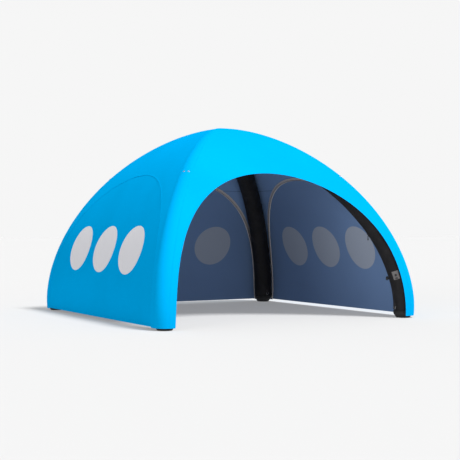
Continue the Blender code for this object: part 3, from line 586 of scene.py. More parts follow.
LOOKS = {
    "canopy": fabric("canopy_blue", CANOPY_BLUE),
    # Painted light: the roof's lining uses the lighter copy of the lining colour.
    "roof_lining_painted_lighter": fabric("roof_lining_painted_lighter", ROOF_LINING_PAINTED_LIGHTER, seam=LINING_SEAM),
    "seam": stitched("canopy_seam", CANOPY_BLUE, (0.003, 0.009)),
    "wall": fabric("wall_blue_printed", WALL_BLUE, PRINT_WHITE),
    "wall_lining": fabric("wall_lining_printed", WALL_LINING, PRINT_BACK),
    "sleeve": sleeve_cloth(),
    "tape": ribbed_tape("zip_tape_grey", (0.520, 0.495, 0.500)),
    "hem_tape": ribbed_tape("hem_tape_navy", (0.060, 0.085, 0.140)),
    "coil": coil_teeth(),
    "rubber": moulded("foot_rubber", (0.012, 0.012, 0.013), 0.75, 500.0, 0.0002),
    "plastic_black": moulded("black_plastic", (0.020, 0.020, 0.022), 0.45),
    "plastic_grey": moulded("grey_plastic", (0.150, 0.144, 0.144), 0.5),
    "webbing": webbing_cloth(),
    "steel": brushed_steel(),
    "bladder": bladder_film(),
    "led": glowing_dot(),
}


# ---------------------------------------------------------------- canopy

def arch_and_leg_stations(count):
    """Matching places up an arch edge and up its leg, from the hem to the middle of the roof."""
    share = np.linspace(0, 1, count)
    turns = arch_turn(COVER_BOTTOM) + (math.pi / 2 - arch_turn(COVER_BOTTOM)) * share
    edge_x, edge_angle = arch_edge(np.minimum(turns, ARCH_CROWN))
    edge_x[-1] = 0.0
    legs = leg_angles(float(angle_at_height(COVER_BOTTOM)), NEARLY_TOP, count, power=0.9)
    return edge_x, edge_angle, legs


ROOF_STATIONS, ROOF_COLUMNS, BAND_COLUMNS = 150, 44, 13
ROOF_UNEVEN = 0.0012

def make_canopy():
    """One sheet: four sides ruled between the legs, joined by bands that wrap the legs."""
    edge_x, edge_angle, legs = arch_and_leg_stations(ROOF_STATIONS)
    leg_x = centre(legs)[0] / math.sqrt(2)
    leg_x[-1] = 0.0
    across = np.linspace(0, 1, ROOF_COLUMNS)
    angle = edge_angle[:, None] + (legs - edge_angle)[:, None] * across
    x = edge_x[:, None] + (leg_x - edge_x)[:, None] * across
    calm = np.clip(np.minimum(across, 1 - across) * 6, 0, 1)
    work = Patchwork()
    for n, side in enumerate(SIDES):
        for sign in (-1, 1):
            depth = ROOF_UNEVEN * ripple(x * sign, run_at(angle), 11 + n, 7, 0.55) * calm
            points = on_side(side, sign * x, angle, depth)
            points[0, :, 2] = COVER_BOTTOM
            work.grid(points, pair(sign * x, run_at(angle)), flip=sign < 0)
    turns = np.arctan(np.abs(slope(legs)[1]))[:, None] * np.linspace(-1, 1, BAND_COLUMNS)
    for leg in LEGS:
        points = on_leg(leg, legs[:, None] + 0 * turns, turns, CANOPY_OFFSET + 0 * turns)
        points[0, :, 2] = COVER_BOTTOM
        work.grid(points, pair(leg_x[:, None] + CANOPY_OFFSET * turns, run_at(legs)[:, None]))
    top = (0.0, 0.0, BULGE_HEIGHT + RISE + CANOPY_OFFSET)
    work.verts = [top if math.dist(v, top) < 0.004 else v for v in work.verts]
    canopy = work.build("canopy_sheet", "canopy", "roof_lining_painted_lighter")
    thicken(canopy, FABRIC_THICK, 1)
    place_piece(canopy, "canopy_fabric", "crown_cover", *("roof_panel_" + s for s in SIDES),
                *("leg_cover_" + k for k in LEGS))


ARCH_STEPS = 220

def along_arch(side, rails, low):
    """Points and cloth distances of a closed section drawn along a whole arch.

    Each rail is (distance outward, depth).
    """
    rails = rails + rails[:1]
    half = np.linspace(arch_turn(low), ARCH_CROWN, ARCH_STEPS)
    rows = []
    for outward, depth in rails:
        x, angle = arch_edge(half, outward)
        left, right = on_side(side, -x, angle, depth), on_side(side, x[::-1], angle[::-1], depth)
        rows.append(np.concatenate([left[:-1], right]))
    points = np.stack(rows, axis=1)
    steps = np.linalg.norm(np.diff(points[:, 0], axis=0), axis=1)
    run = np.concatenate([[0], np.cumsum(steps)])
    return points, pair(run[:, None], np.array([r[0] for r in rails]))

def along_leg(leg, angles, start, rails):
    """Points and cloth distances of a closed section drawn along a leg.

    Each rail is (distance across from the start turn, radius).
    """
    rails = rails + rails[:1]
    points = np.stack([on_leg(leg, angles, start + across / CANOPY_OFFSET, radius + 0 * angles)
                       for across, radius in rails], axis=1)
    return points, pair(leg_run_at(angles)[:, None], np.array([r[0] for r in rails]))


def closed_strip(name, drawn, look):
    """Strip with a closed section, capped at its two ends."""
    points, uv = drawn
    work = Patchwork()
    work.grid(points, uv)
    work.cap(points[0][:-1])
    work.cap(points[-1][:-1][::-1])
    return fix_outside(work.build(name, look))


FOLD_WIDTH = 0.0120
FOLD = mm((0, -0.2), (0, -0.6), (11.5, -0.6), (12, -0.2))
SEAM_TOP = 2.46
FRONT_TAPE = mm((0.5, 1.8), (30, 1.8), (30, 3), (12, 3.4), (0.5, 3))

def make_arch_fold(side):
    """Cloth folded over and stitched round an arch, on the outside."""
    fold = closed_strip("arch_fold_" + side, along_arch(side, FOLD, COVER_BOTTOM + 0.0005), "seam")
    place_piece(fold, "canopy_fabric")


def make_leg_seams(leg):
    """Felled seams where the leg's band meets the sides, either side of the ridge."""
    angles = leg_angles(float(angle_at_height(COVER_BOTTOM + 0.004)), leg_angle_at(SEAM_TOP), 150)
    edge = np.arctan(np.abs(slope(angles)[1]))
    low, high = CANOPY_OFFSET + 0.0001, CANOPY_OFFSET + 0.0005
    rails = [(0.0, low), (0.0005, high), (FOLD_WIDTH - 0.0005, high), (FOLD_WIDTH, low)]
    for n, sign in enumerate((-1, 1)):
        start = sign * edge - FOLD_WIDTH * (sign > 0) / CANOPY_OFFSET
        seam = closed_strip("leg_seam_%s_%d" % (leg, n), along_leg(leg, angles, start, rails), "seam")
        place_piece(seam, "canopy_fabric")


def make_front_binding():
    """Hem tape sewn behind the open arch's edge."""
    drawn = along_arch("front", FRONT_TAPE, COVER_BOTTOM + 0.002)
    place_piece(closed_strip("front_hem_tape", drawn, "hem_tape"), "tape_grey", "front_binding")


# ---------------------------------------------------------------- walls and their zips

WALL_ROWS, WALL_COLUMNS = 110, 90
TAPE_THICK = 0.0010

def make_wall(side):
    """Fabric wall that fills an arch, tucked just behind the canopy's edge."""
    half, angle = arch_edge(np.linspace(arch_turn(WALL_BOTTOM), NEARLY_TOP, WALL_ROWS), WALL_TUCK)
    half[-1] = 0.0
    across = np.linspace(-1, 1, WALL_COLUMNS)
    x = half[:, None] * across
    angle = angle[:, None] + 0 * x
    calm = np.clip((1 - np.abs(across)) * 7, 0, 1) * np.clip(np.linspace(0, 6, WALL_ROWS), 0, 1)[:, None]
    calm = calm * np.clip(np.linspace(10, 0, WALL_ROWS), 0, 1)[:, None]
    waves = ripple(x, run_at(angle) * 0.45, 31 + list(SIDES).index(side), 8, 0.42)
    depth = WALL_DEPTH + calm * (0.0016 + 0.0011 * waves)
    wall = cloth("wall_sheet_" + side, on_side(side, x, angle, depth), pair(x, run_at(angle)),
                 "wall", "wall_lining")
    thicken(wall, FABRIC_THICK, 1)
    place_piece(wall, "wall_fabric", "wall_" + side)


def make_wall_hem(side):
    """Doubled hem along a wall's bottom edge."""
    top = WALL_BOTTOM + HEM_WIDTH
    low, high = float(angle_at_height(WALL_BOTTOM - 0.001)), float(angle_at_height(top))
    half = arch_edge(np.array([arch_turn(top)]), -0.004)[0][0]
    x = np.linspace(-half, half, 60)
    outer, inner = WALL_DEPTH - HEM_THICK / 2, WALL_DEPTH + FABRIC_THICK + HEM_THICK / 2
    rails = [(low, outer), (high, outer), (high, inner), (low, inner), (low, outer)]
    points = np.stack([on_side(side, x, a, d) for a, d in rails], axis=1)
    work = Patchwork()
    work.grid(points, pair(x[:, None], np.array([0, 1, 1, 0, 0]) * HEM_WIDTH))
    for end in (points[0], points[-1]):
        work.grid(np.stack([end[[0, 1]], end[[3, 2]]]), np.zeros((2, 2, 2)))
    hem = fix_outside(work.build("wall_hem_" + side, "wall", "wall_lining"))
    turn = math.radians(SIDES[side])
    outward = Vector((math.sin(turn), -math.cos(turn), 0))
    for face in hem.data.polygons:
        face.material_index = int(face.normal.dot(outward) < 0.3)
    place_piece(hem, "wall_fabric")


def make_zip(side):
    """Zip tape raised into a low ridge under its coil, along a wall's whole arch."""
    edge, crest = TAPE_EDGE_DEPTH, TAPE_CREST_DEPTH
    rise = [(-TAPE_INNER, edge), (-0.0110, edge + 0.0022), (-0.0065, crest - 0.002),
            (-0.0026, crest), (0.0026, crest), (0.0065, crest - 0.002),
            (0.0140, edge + 0.0030), (TAPE_OUTER, edge)]
    rails = rise + [(o, d - TAPE_THICK) for o, d in rise[::-1]]
    tape = closed_strip("zip_tape_sewn_" + side, along_arch(side, rails, WALL_BOTTOM + 0.001), "tape")
    place_piece(tape, "tape_grey", "zip_tape_" + side)
    ring = [(COIL_RADIUS * math.cos(t), crest + COIL_RADIUS * math.sin(t) * 0.9)
            for t in np.radians(np.linspace(-20, 200, 9))]
    coil = closed_strip("zip_coil_" + side, along_arch(side, ring, WALL_BOTTOM + 0.002), "coil")
    place_piece(coil, "plastic_black")


# ---------------------------------------------------------------- air beams and feet

SLEEVE_LOW = 0.108
SLEEVE_FULL_REACH = 0.250
THROAT_REACH = 0.188
THROAT_RADIUS = 0.055
SLEEVE_SKIN = 0.1385
SLEEVE_LEAST = 0.1350
SLEEVE_THICK = 0.0012
SLEEVE_STATIONS, SLEEVE_SIDES, DOME_STATIONS, CREASES = 230, 72, 16, 26
SLEEVE_SEAM_TOP = 2.45
SLEEVE_SEAM_TURN = math.radians(118)
SLEEVE_SEAM = ((-0.058, -0.0030), (-0.050, -0.0004), (0.050, -0.0004), (0.058, -0.0030),
               (-0.058, -0.0030))


def joint_named(name):
    return next(j for j in frame["joints"] if j["name"] == name)


def axes_at(origin, across, out):
    """Frame with local X across, Y out of the leg and Z up along it."""
    out = Vector(out).normalized()
    across = Vector(across)
    across = (across - out * across.dot(out)).normalized()
    up = across.cross(out)
    if up.z < 0:
        across, up = -across, -up
    turn = Matrix((across, out, up)).transposed().to_4x4()
    return Matrix.Translation(Vector(origin)) @ turn


def middle(node):
    low, high = (np.array(v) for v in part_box(node))
    return (low + high) / 2


def panel_frame():
    """The control panel's frame, with its origin in the middle of the power button."""
    out = -Vector(joint_named("power_press")["axis"])
    return axes_at(middle("power_button"), joint_named("port_cover_flip")["axis"], out)


def hinge_frame(name):
    """A leg fitting's frame, with its origin on the fitting's hinge."""
    joint = joint_named(name)
    point = Vector(joint["pos_m"])
    angle = leg_angle_at(point.z)
    away = point - Vector(leg_frame(leg_of(point), np.array(angle))[0])
    return axes_at(point, joint["axis"], away - away.dot(Vector(joint["axis"])) * Vector(joint["axis"]))


def leg_of(point):
    return next(k for k, (dx, dy) in LEGS.items() if dx * point[0] > 0 and dy * point[1] > 0)


PANEL_WINDOW = (0.038, 0.052)
VALVE_WINDOW = 0.021


def window_test(points):
    """Which points lie in the sleeve's openings for the control panel and the valve."""
    local = np.array(panel_frame().inverted())
    own = points @ local[:3, :3].T + local[:3, 3]
    panel = (np.abs(own[:, 0]) < PANEL_WINDOW[0]) & (np.abs(own[:, 2]) < PANEL_WINDOW[1])
    panel &= np.abs(own[:, 1]) < 0.06
    valve = np.linalg.norm(points - middle("valve_body"), axis=-1) < VALVE_WINDOW
    return panel | valve


def make_sleeve(leg):
    """Black sleeve over an air beam, creased where it bends and gathered in at the crown."""
    low, high = leg_angle_at(SLEEVE_LOW), angle_at_reach(SLEEVE_FULL_REACH)
    angles = leg_angles(low, high, SLEEVE_STATIONS)
    turns = np.linspace(-math.pi, math.pi, SLEEVE_SIDES + 1)
    run = leg_run_at(angles)
    seed = 51 + list(LEGS).index(leg)
    s, t = run[:, None] + 0 * turns, turns + 0 * run[:, None]
    rng = np.random.default_rng(seed)
    crease = np.zeros(s.shape)
    for _ in range(CREASES):
        at, tilt, reach = rng.uniform(0.1, run[-1]), rng.uniform(-0.05, 0.05), rng.uniform(0.010, 0.022)
        side_of = rng.uniform(-math.pi, math.pi)
        near = np.exp(-((s - at - tilt * np.sin(t - side_of)) / reach) ** 2)
        crease += rng.uniform(0.5, 1.0) * near * np.clip(np.cos((t - side_of) / 1.2), 0, 1) ** 2
    wobble = ripple(s, np.sin(t) * 0.25, seed + 7, 6, 0.35) + ripple(s, np.cos(t) * 0.2, seed, 5, 0.22)
    wobble[:, -1] = wobble[:, 0]
    crease[:, -1] = crease[:, 0]
    gather = np.exp(-((s - s[0, 0]) / 0.03) ** 2) * 0.0012 * np.sin(t * 18)
    radius = SLEEVE_SKIN - 0.0018 * np.clip(crease, 0, 1.3) + 0.00055 * wobble + gather
    radius = np.maximum(radius, SLEEVE_LEAST)
    closing = np.linspace(0, 1, DOME_STATIONS)[1:, None]
    dome = THROAT_RADIUS + (radius[-1] - THROAT_RADIUS) * np.sqrt(1 - closing ** 2)
    dome = dome + 0.0014 * np.sin(22 * turns) * closing * (1 - closing)
    radius = np.concatenate([radius, dome])
    angles = np.concatenate([angles, leg_angles(high, angle_at_reach(THROAT_REACH), DOME_STATIONS)[1:]])
    t = turns + 0 * angles[:, None]
    points = on_leg(leg, angles[:, None] + 0 * t, t, radius)
    uv = pair(SLEEVE_RADIUS * t, leg_run_at(angles)[:, None])
    sleeve = cloth("sleeve_" + leg, points, uv, "sleeve")
    if leg == "front_right":
        cut_windows(sleeve)
    thicken(sleeve, SLEEVE_THICK)
    place_piece(sleeve, "sleeve_fabric", "air_sleeve_" + leg)


def cut_windows(sleeve):
    with reworked(sleeve.data) as work:
        centres = np.array([f.calc_center_median() for f in work.faces])
        gone = [f for f, inside in zip(work.faces, window_test(centres)) if inside]
        bmesh.ops.delete(work, geom=gone, context="FACES")


def make_sleeve_seam(leg):
    """Folded seam down the sleeve's inner line."""
    angles = leg_angles(leg_angle_at(SLEEVE_LOW + 0.004), leg_angle_at(SLEEVE_SEAM_TOP), 160)
    points = np.stack([on_leg(leg, angles, SLEEVE_SEAM_TURN + t, SLEEVE_SKIN + 0.0006 + r + 0 * angles)
                       for t, r in SLEEVE_SEAM], axis=1)
    uv = pair(leg_run_at(angles)[:, None], np.array([t * SLEEVE_RADIUS for t, _ in SLEEVE_SEAM]))
    place_piece(fix_outside(cloth("sleeve_seam_" + leg, points, uv, "webbing")), "webbing")


FOOT_FLAT, FOOT_TOP = 0.091, 0.100
TREAD = mm((0, 0.8), (20, 0.8), (22, 0), (40, 0), (42, 3), (46, 3), (48, 0), (64, 0), (66, 3), (70, 3),
           (72, 0))
SPIGOT = mm((118, 100), (118, 158), (115, 160), (0, 160))

def make_foot(leg):
    """Rubber foot with a tread of rings below, three grooves round its side and a spigot above."""
    low, high = (np.array(v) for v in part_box("foot_cap_" + leg))
    x, y = (low[:2] + high[:2]) / 2
    full = (high[0] - low[0]) / 2
    side, waist = full - 0.0006, full - 0.010
    profile = TREAD + [(FOOT_FLAT, 0)]
    profile += [(FOOT_FLAT + (waist - FOOT_FLAT) * t, 0.045 * t ** 1.15) for t in (0.10, 0.3, 0.5, 0.75)]
    profile += [(waist, 0.045), (full - 0.004, 0.058), (full - 0.001, 0.068), (side, 0.074)]
    for z in (0.078, 0.084, 0.090):
        profile += [(side, z - 0.002), (full - 0.0022, z), (side, z + 0.002)]
    profile += [(side, FOOT_TOP - 0.003), (full - 0.003, FOOT_TOP)] + SPIGOT
    verts, faces = turned(profile, 72)
    verts = [(vx + x, vy + y, vz) for vx, vy, vz in verts]
    place_piece(mesh_object("foot_" + leg, verts, faces, LOOKS["rubber"]), "rubber_black", "foot_cap_" + leg)


def tube_on_leg(name, leg, stations, sides, mat):
    """Solid along a leg's line; stations are (height, radius) from one closed end to the other."""
    turns = np.linspace(-math.pi, math.pi, sides + 1)[:-1]
    verts, faces = [], []
    for z, radius in stations:
        angle = np.array(leg_angle_at(z))
        verts += [tuple(p) for p in on_leg(leg, angle, turns, radius + 0 * turns)]
    for i in range(len(stations) - 1):
        for k in range(sides):
            n = (k + 1) % sides
            faces.append((i * sides + k, i * sides + n, (i + 1) * sides + n, (i + 1) * sides + k))
    faces.append(tuple(range(sides)))
    faces.append(tuple((len(stations) - 1) * sides + k for k in range(sides)))
    return mesh_object(name, verts, faces, mat, 50)


CORE_RADIUS = 0.1310
BLADDER_END_REACH = 0.285


def make_bladder(leg):
    """Welded air bladder inside a sleeve."""
    low = leg_angle_at(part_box("air_bladder_" + leg)[0][2] + 0.012)
    angles = leg_angles(low, angle_at_reach(BLADDER_END_REACH), 120)
    run = leg_run_at(angles)
    from_end = np.minimum(run - run[0], run[-1] - run)
    radius = CORE_RADIUS * (0.55 + 0.45 * np.sqrt(1 - (1 - np.clip(from_end / 0.03, 0, 1)) ** 2))
    rows = list(zip(centre(angles)[1], radius))
    bladder = tube_on_leg("bladder_" + leg, leg, rows, 48, LOOKS["bladder"])
    place_piece(bladder, "bladder_film", "air_bladder_" + leg)


HOUSING_INSET = 0.035
RIB_DEPTH = 0.009

def make_pump_and_battery():
    """Pump and battery housings, ringed with ribs that hold the sleeve off them."""
    for node, name, look, ribs in (("battery_pack", "battery_housing", "plastic_grey", 5),
                                   ("pump_unit", "pump_housing", "plastic_black", 7)):
        low, high = (v[2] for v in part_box(node))
        low, high = low + HOUSING_INSET, high - HOUSING_INSET
        body, rows = CORE_RADIUS - RIB_DEPTH, []
        for z in np.linspace(low + 0.012, high - 0.012, ribs):
            rows += [(z - 0.008, body), (z - 0.006, CORE_RADIUS), (z + 0.006, CORE_RADIUS),
                     (z + 0.008, body)]
            rows += [(z + 0.008 + t * ((high - low) / (ribs - 1) - 0.016), body) for t in (0.33, 0.67)]
        rows = [(low, body * 0.9)] + [r for r in rows if r[0] < high] + [(high, body * 0.9)]
        place_piece(tube_on_leg(name, "front_right", rows, 64, LOOKS[look]), look, node)


CHAMBER_GORES = 12
CHAMBER_THICK = 0.0015

def make_crown_chamber():
    """Air chamber under the roof's top, sewn from gores that pull in at their seams."""
    low, high = (np.array(v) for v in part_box("crown_chamber"))
    mid, size = (low + high) / 2, (high - low) / 2
    lift = np.linspace(math.radians(-80), math.radians(89.5), 40)[:, None]
    turn = np.linspace(0, 2 * math.pi, 145)[None, :]
    pull = 1 - 0.022 * np.abs(np.cos(CHAMBER_GORES * turn / 2)) ** 14 * np.cos(lift) ** 0.5
    points = np.stack([mid[0] + size[0] * np.cos(lift) * np.cos(turn) * pull,
                       mid[1] + size[1] * np.cos(lift) * np.sin(turn) * pull,
                       mid[2] + size[2] * np.sin(lift) * pull], axis=-1)
    uv = pair(turn * size[0], lift * size[2])
    chamber = cloth("crown_chamber_sewn", points, uv, "sleeve", merge=5e-4)
    thicken(chamber, CHAMBER_THICK)
    place_piece(chamber, "sleeve_fabric", "crown_chamber")


# ---------------------------------------------------------------- fittings

def swept(path, radius, sides, name, mat):
    """Round wire along a closed path of points, with one radius or one for each point."""
    path = [Vector(p) for p in path]
    radii = np.broadcast_to(radius, len(path)).tolist()
    plane = (path[1] - path[0]).cross(path[len(path) // 2] - path[0]).normalized()
    verts, faces, count = [], [], len(path)
    for i in range(count):
        along = (path[(i + 1) % count] - path[i - 1]).normalized()
        third = along.cross(plane)
        for k in range(sides):
            t = 2 * math.pi * k / sides
            verts.append(path[i] + radii[i] * (math.cos(t) * plane + math.sin(t) * third))
    for i in range(count):
        for k in range(sides):
            n, m = (k + 1) % sides, (i + 1) % count
            faces.append((i * sides + k, i * sides + n, m * sides + n, m * sides + k))
    return mesh_object(name, verts, faces, mat, 60)


EYELET_HEIGHT, EYELET_TURN = 1.965, 0.21
GUY_PATCH_HALF, GUY_PATCH_TURN = 0.020, 0.34
EYELET = mm((6, -0.4), (14.5, -0.4), (14, 1), (10.5, 2.2), (7.5, 1.6), (6, 0.6))

def make_eyelets(leg):
    """Reinforcing patch over the leg's ridge with two metal eyelets for guy lines."""
    angle = float(angle_at_height(EYELET_HEIGHT))
    rows, cols = 9, 41
    runs = leg_run_at(angle) + np.linspace(-GUY_PATCH_HALF, GUY_PATCH_HALF, rows)
    along = np.interp(runs, _LEG_RUN, _ANGLES)[:, None]
    turns = np.linspace(-GUY_PATCH_TURN, GUY_PATCH_TURN, cols)
    lift = np.full((rows, cols), CANOPY_OFFSET + 0.0006)
    lift[1:-1, 1:-1] += 0.0010
    points = on_leg(leg, along + 0 * turns, turns + 0 * along, lift)
    patch = cloth("guy_patch_sewn_" + leg, points, pair(turns * CANOPY_OFFSET, along * REACH), "canopy")
    thicken(patch, FABRIC_THICK)
    place_piece(patch, "canopy_fabric", "guy_patch_" + leg)
    axis = Vector(leg_frame(leg, np.array(angle))[0])
    for n, turn in enumerate((-EYELET_TURN, EYELET_TURN)):
        spot = Vector(on_leg(leg, np.array(angle), np.array(turn), np.array(CANOPY_OFFSET + 0.0016)))
        turned_piece("eyelet_%s_%d" % (leg, n), EYELET, spot, (spot - axis).normalized(), "steel",
                     "ring_steel", 32, smooth_angle=60)


PATCH_THICK = 0.001

def patch_on_leg(name, place, leg, spans, lift, look, slot):
    """Sewn patch that follows a sleeve; lift(edge, x, z) is its height, edge its steps from the rim."""
    across, along = (np.linspace(*span) for span in spans)
    rows, cols = len(along), len(across)
    points = np.empty((rows, cols, 3))
    for i, z in enumerate(along):
        for j, x in enumerate(across):
            spot = place @ Vector((x, 0, z))
            axis = Vector(leg_frame(leg, np.array(leg_angle_at(spot.z)))[0])
            edge = min(i, rows - 1 - i, j, cols - 1 - j)
            points[i, j] = axis + (spot - axis).normalized() * (SLEEVE_SKIN + lift(edge, x, z))
    patch = fix_outside(cloth(name, points, pair(across, along[:, None]), look))
    thicken(patch, PATCH_THICK)
    place_piece(patch, slot)

def make_battery_flap():
    """Cloth flap over the battery's pocket, below the control panel."""
    def lift(edge, x, z):
        return 0.0014 + 0.0012 * min(1.0, edge / 2) + 0.0006 * math.sin(z * 95 + x * 30)

    spans = (-0.052, 0.052, 19), (-0.245, -0.095, 25)
    patch_on_leg("battery_flap", panel_frame(), "front_right", spans, lift, "sleeve", "sleeve_fabric")


def smooth_loop(corners, rounds=3):
    """Closed path with its corners cut until it reads as a curve."""
    path = [Vector(p) for p in corners]
    for _ in range(rounds):
        path = [q for a, b in zip(path, path[1:] + path[:1])
                for q in (a.lerp(b, 0.25), a.lerp(b, 0.75))]
    return path


def make_accessory_loop():
    """Pear-shaped loop that hangs from its tab."""
    joint = joint_named("accessory_loop_swing")
    across = Vector(joint["axis"])
    half, waist, shoulder, drop = 0.013, 0.0075, 0.012, 0.050
    corners = [(half, 0.002), (-half, 0.002), (-half, -0.010), (-waist, -0.022), (-shoulder, -0.034)]
    corners += [(-half, -drop * 0.86), (-half * 0.6, -drop), (half * 0.6, -drop), (half, -drop * 0.86)]
    corners += [(shoulder, -0.034), (waist, -0.022), (half, -0.010)]
    outline = smooth_loop(corners, 2)
    path = [Vector(joint["pos_m"]) + x * across + Vector((0, 0, z)) for x, z in outline]
    radii = [0.0033 + 0.0022 * min(1.0, max(0.0, (-z - 0.020) / 0.016)) for _, z in outline]
    loop = swept(path, radii, 12, "hanging_loop", LOOKS["plastic_black"])
    place_piece(loop, "plastic_black", "accessory_loop", body="accessory_loop")


def make_anchor_ring(leg):
    """Welded D-shaped ring that hangs from its tab, its bar inside the tab's fold."""
    joint = joint_named("anchor_ring_%s_swing" % leg)
    place = hinge_frame(joint["name"])
    half, drop = 0.019, 0.016
    corners = [(half, 0.0), (half * 0.4, 0.0), (-half * 0.4, 0.0), (-half, 0.0), (-half, -drop * 0.8)]
    corners += [(-half * math.cos(t), -drop - half * math.sin(t))
                for t in np.linspace(0.25, math.pi - 0.25, 7)]
    corners += [(half, -drop * 0.8)]
    path = [place @ Vector((x, 0, z)) for x, z in smooth_loop(corners, 2)]
    ring = swept(path, 0.0025, 12, "d_ring_" + leg, LOOKS["steel"])
    place_piece(ring, "ring_steel", joint["child"], body=joint["child"])


def make_tab_pad(name, hinge, width, height, rise):
    """Reinforcement between a webbing tab and the sleeve."""
    place = hinge_frame(hinge)
    spans = (-width / 2, width / 2, 9), (rise - height / 2, rise + height / 2, 7)
    patch_on_leg(name, place, leg_of(place.translation), spans,
                 lambda edge, x, z: 0.0004 + 0.0008 * (edge > 0), "webbing", "webbing")


PANEL_FACE = 0.0050
PANEL_CURVE = 0.1420
PANEL_HALF = (0.0400, 0.0560)
PANEL_CORNER = 0.008
SCREW = mm((0, -1), (3, -1), (3, 0.6), (2.4, 1.1), (1.2, 1.1), (1, 0.5), (0, 0.5))
COLLAR = mm((17.5, -0.5), (19.5, -0.5), (19.2, 0.8), (18, 1.2), (17.5, 0.6))
CHARGE_LIGHT = mm((0, -1), (1.8, -1), (1.8, 0.5), (1, 0.9), (0, 0.9))

def outward(place):
    return place.to_3x3() @ Vector((0, 1, 0))

def make_panel_trim():
    """Rim, screws, button collar and charge light of the control panel."""
    place = panel_frame()
    out = outward(place)

    def on_face(x, z):
        fall = math.sqrt(max(0.0, PANEL_CURVE ** 2 - x * x)) - PANEL_CURVE
        return place @ Vector((x, PANEL_FACE + fall, z))

    half_w, half_h = PANEL_HALF
    corners = [(half_w, half_h), (-half_w, half_h), (-half_w, -half_h), (half_w, -half_h)]
    outline = []
    for cx, cz in corners:
        quarter = math.floor(math.atan2(cz, cx) / (math.pi / 2)) * math.pi / 2
        outline += [(cx - math.copysign(PANEL_CORNER, cx) + PANEL_CORNER * math.cos(t),
                     cz - math.copysign(PANEL_CORNER, cz) + PANEL_CORNER * math.sin(t))
                    for t in np.linspace(quarter, quarter + math.pi / 2, 7)]
    dense = []
    for (xa, za), (xb, zb) in zip(outline, outline[1:] + outline[:1]):
        steps = max(1, int(math.hypot(xb - xa, zb - za) / 0.006))
        dense += [(xa + (xb - xa) * k / steps, za + (zb - za) * k / steps) for k in range(steps)]
    rim = swept([on_face(x, z) for x, z in dense], 0.0014, 8, "panel_rim", LOOKS["plastic_black"])
    place_piece(rim, "plastic_black")
    for n, (cx, cz) in enumerate(corners):
        turned_piece("panel_screw_%d" % n, SCREW, on_face(cx * 0.84, cz * 0.88), out, "steel",
                     "ring_steel", 20)
    turned_piece("button_collar", COLLAR, on_face(0, 0), out, "plastic_black", "plastic_black", 48)
    turned_piece("charge_light", CHARGE_LIGHT, on_face(0.024, 0.028), out, "led", "plastic_grey", 16)


def extruded(place, outline, low, high):
    """Outline of (y, z) points drawn out along local X from low to high, then placed."""
    n = len(outline)
    verts = [place @ Vector((x, y, z)) for x in (low, high) for y, z in outline]
    faces = [tuple(range(n)), tuple(range(2 * n - 1, n - 1, -1))]
    return verts, faces + [(i, (i + 1) % n, n + (i + 1) % n, n + i) for i in range(n)]


KNUCKLE_RADIUS, BARREL_RADIUS = 0.0034, 0.0027

def make_valve_hinge():
    """Knuckles on the valve's flange, and the cap's tongue with its barrel between them."""
    place = hinge_frame("valve_cap_flip")
    knuckle = [(-0.0125, 0.0040)]
    knuckle += [(KNUCKLE_RADIUS * math.sin(t), KNUCKLE_RADIUS * math.cos(t))
                for t in np.radians(np.linspace(0, 180, 13))]
    knuckle += [(-0.0125, -0.0040)]
    for n, low in enumerate((-0.0082, 0.0056)):
        verts, faces = extruded(place, knuckle, low, low + 0.0026)
        obj = mesh_object("valve_knuckle_%d" % n, verts, faces, LOOKS["plastic_black"])
        place_piece(obj, "plastic_black")
    tongue = mm((3.4, -7.5), (3.4, 1), (2, 2.7))
    tongue += [(BARREL_RADIUS * math.cos(t), BARREL_RADIUS * math.sin(t))
               for t in np.radians(np.linspace(90, 330, 15))]
    verts, faces = extruded(place, tongue + mm((0.6, -7.5)), -0.0050, 0.0050)
    obj = mesh_object("valve_cap_tongue", verts, faces, LOOKS["plastic_black"])
    place_piece(obj, "plastic_black", body="valve_cap")


def turned_piece(name, profile, spot, out, look, slot, segments, *replaces, body=ROOT, grips=0,
                 smooth_angle=50):
    """A turned fitting that stands out from a spot, with grooves round its rim for a grip."""
    verts, faces = turned(profile, segments)
    if grips:
        rim = max(radius for radius, _ in profile) - 1e-5
        sunk = [math.hypot(x, y) > rim and math.cos(grips * math.atan2(y, x)) > 0.3 for x, y, _ in verts]
        verts = [(x * 0.975, y * 0.975, z) if low else (x, y, z) for (x, y, z), low in zip(verts, sunk)]
    lean = Matrix.Translation(spot) @ out.to_track_quat("Z", "Y").to_matrix().to_4x4()
    piece = mesh_object(name, [lean @ Vector(v) for v in verts], faces, LOOKS[look], smooth_angle)
    place_piece(piece, slot, *replaces, body=body)


VALVE_BODY = mm((0, -18), (17, -18), (17, 1.2), (31.5, 1.2), (32, 1.8), (32, 4.2), (31.2, 5), (23, 7.2),
                (20.5, 8.2), (20, 9.5), (20, 11.2), (19.4, 11.6), (19.4, 12.4), (20, 12.8), (20, 15.2),
                (19.4, 16), (0, 16))
VALVE_CAP = mm((0, 0), (20.5, 0), (23, 0), (24, 1), (24, 8.6), (23.2, 10.2), (21, 11.8), (19.5, 12),
               (18.6, 11.3), (0, 11.1))
BUTTON = mm((0, -16), (15, -16), (15, 4), (14.4, 5.2), (12.8, 6), (10.8, 5.8), (8.5, 5.3), (0, 5))
RELIEF = mm((0, 32.5), (6, 32.5), (6.6, 33.8), (19, 34), (20.5, 33.6), (33, 28.5), (34, 27.2),
            (34, 21.5), (33.5, 21), (24, 21), (24, 0), (0, 0))

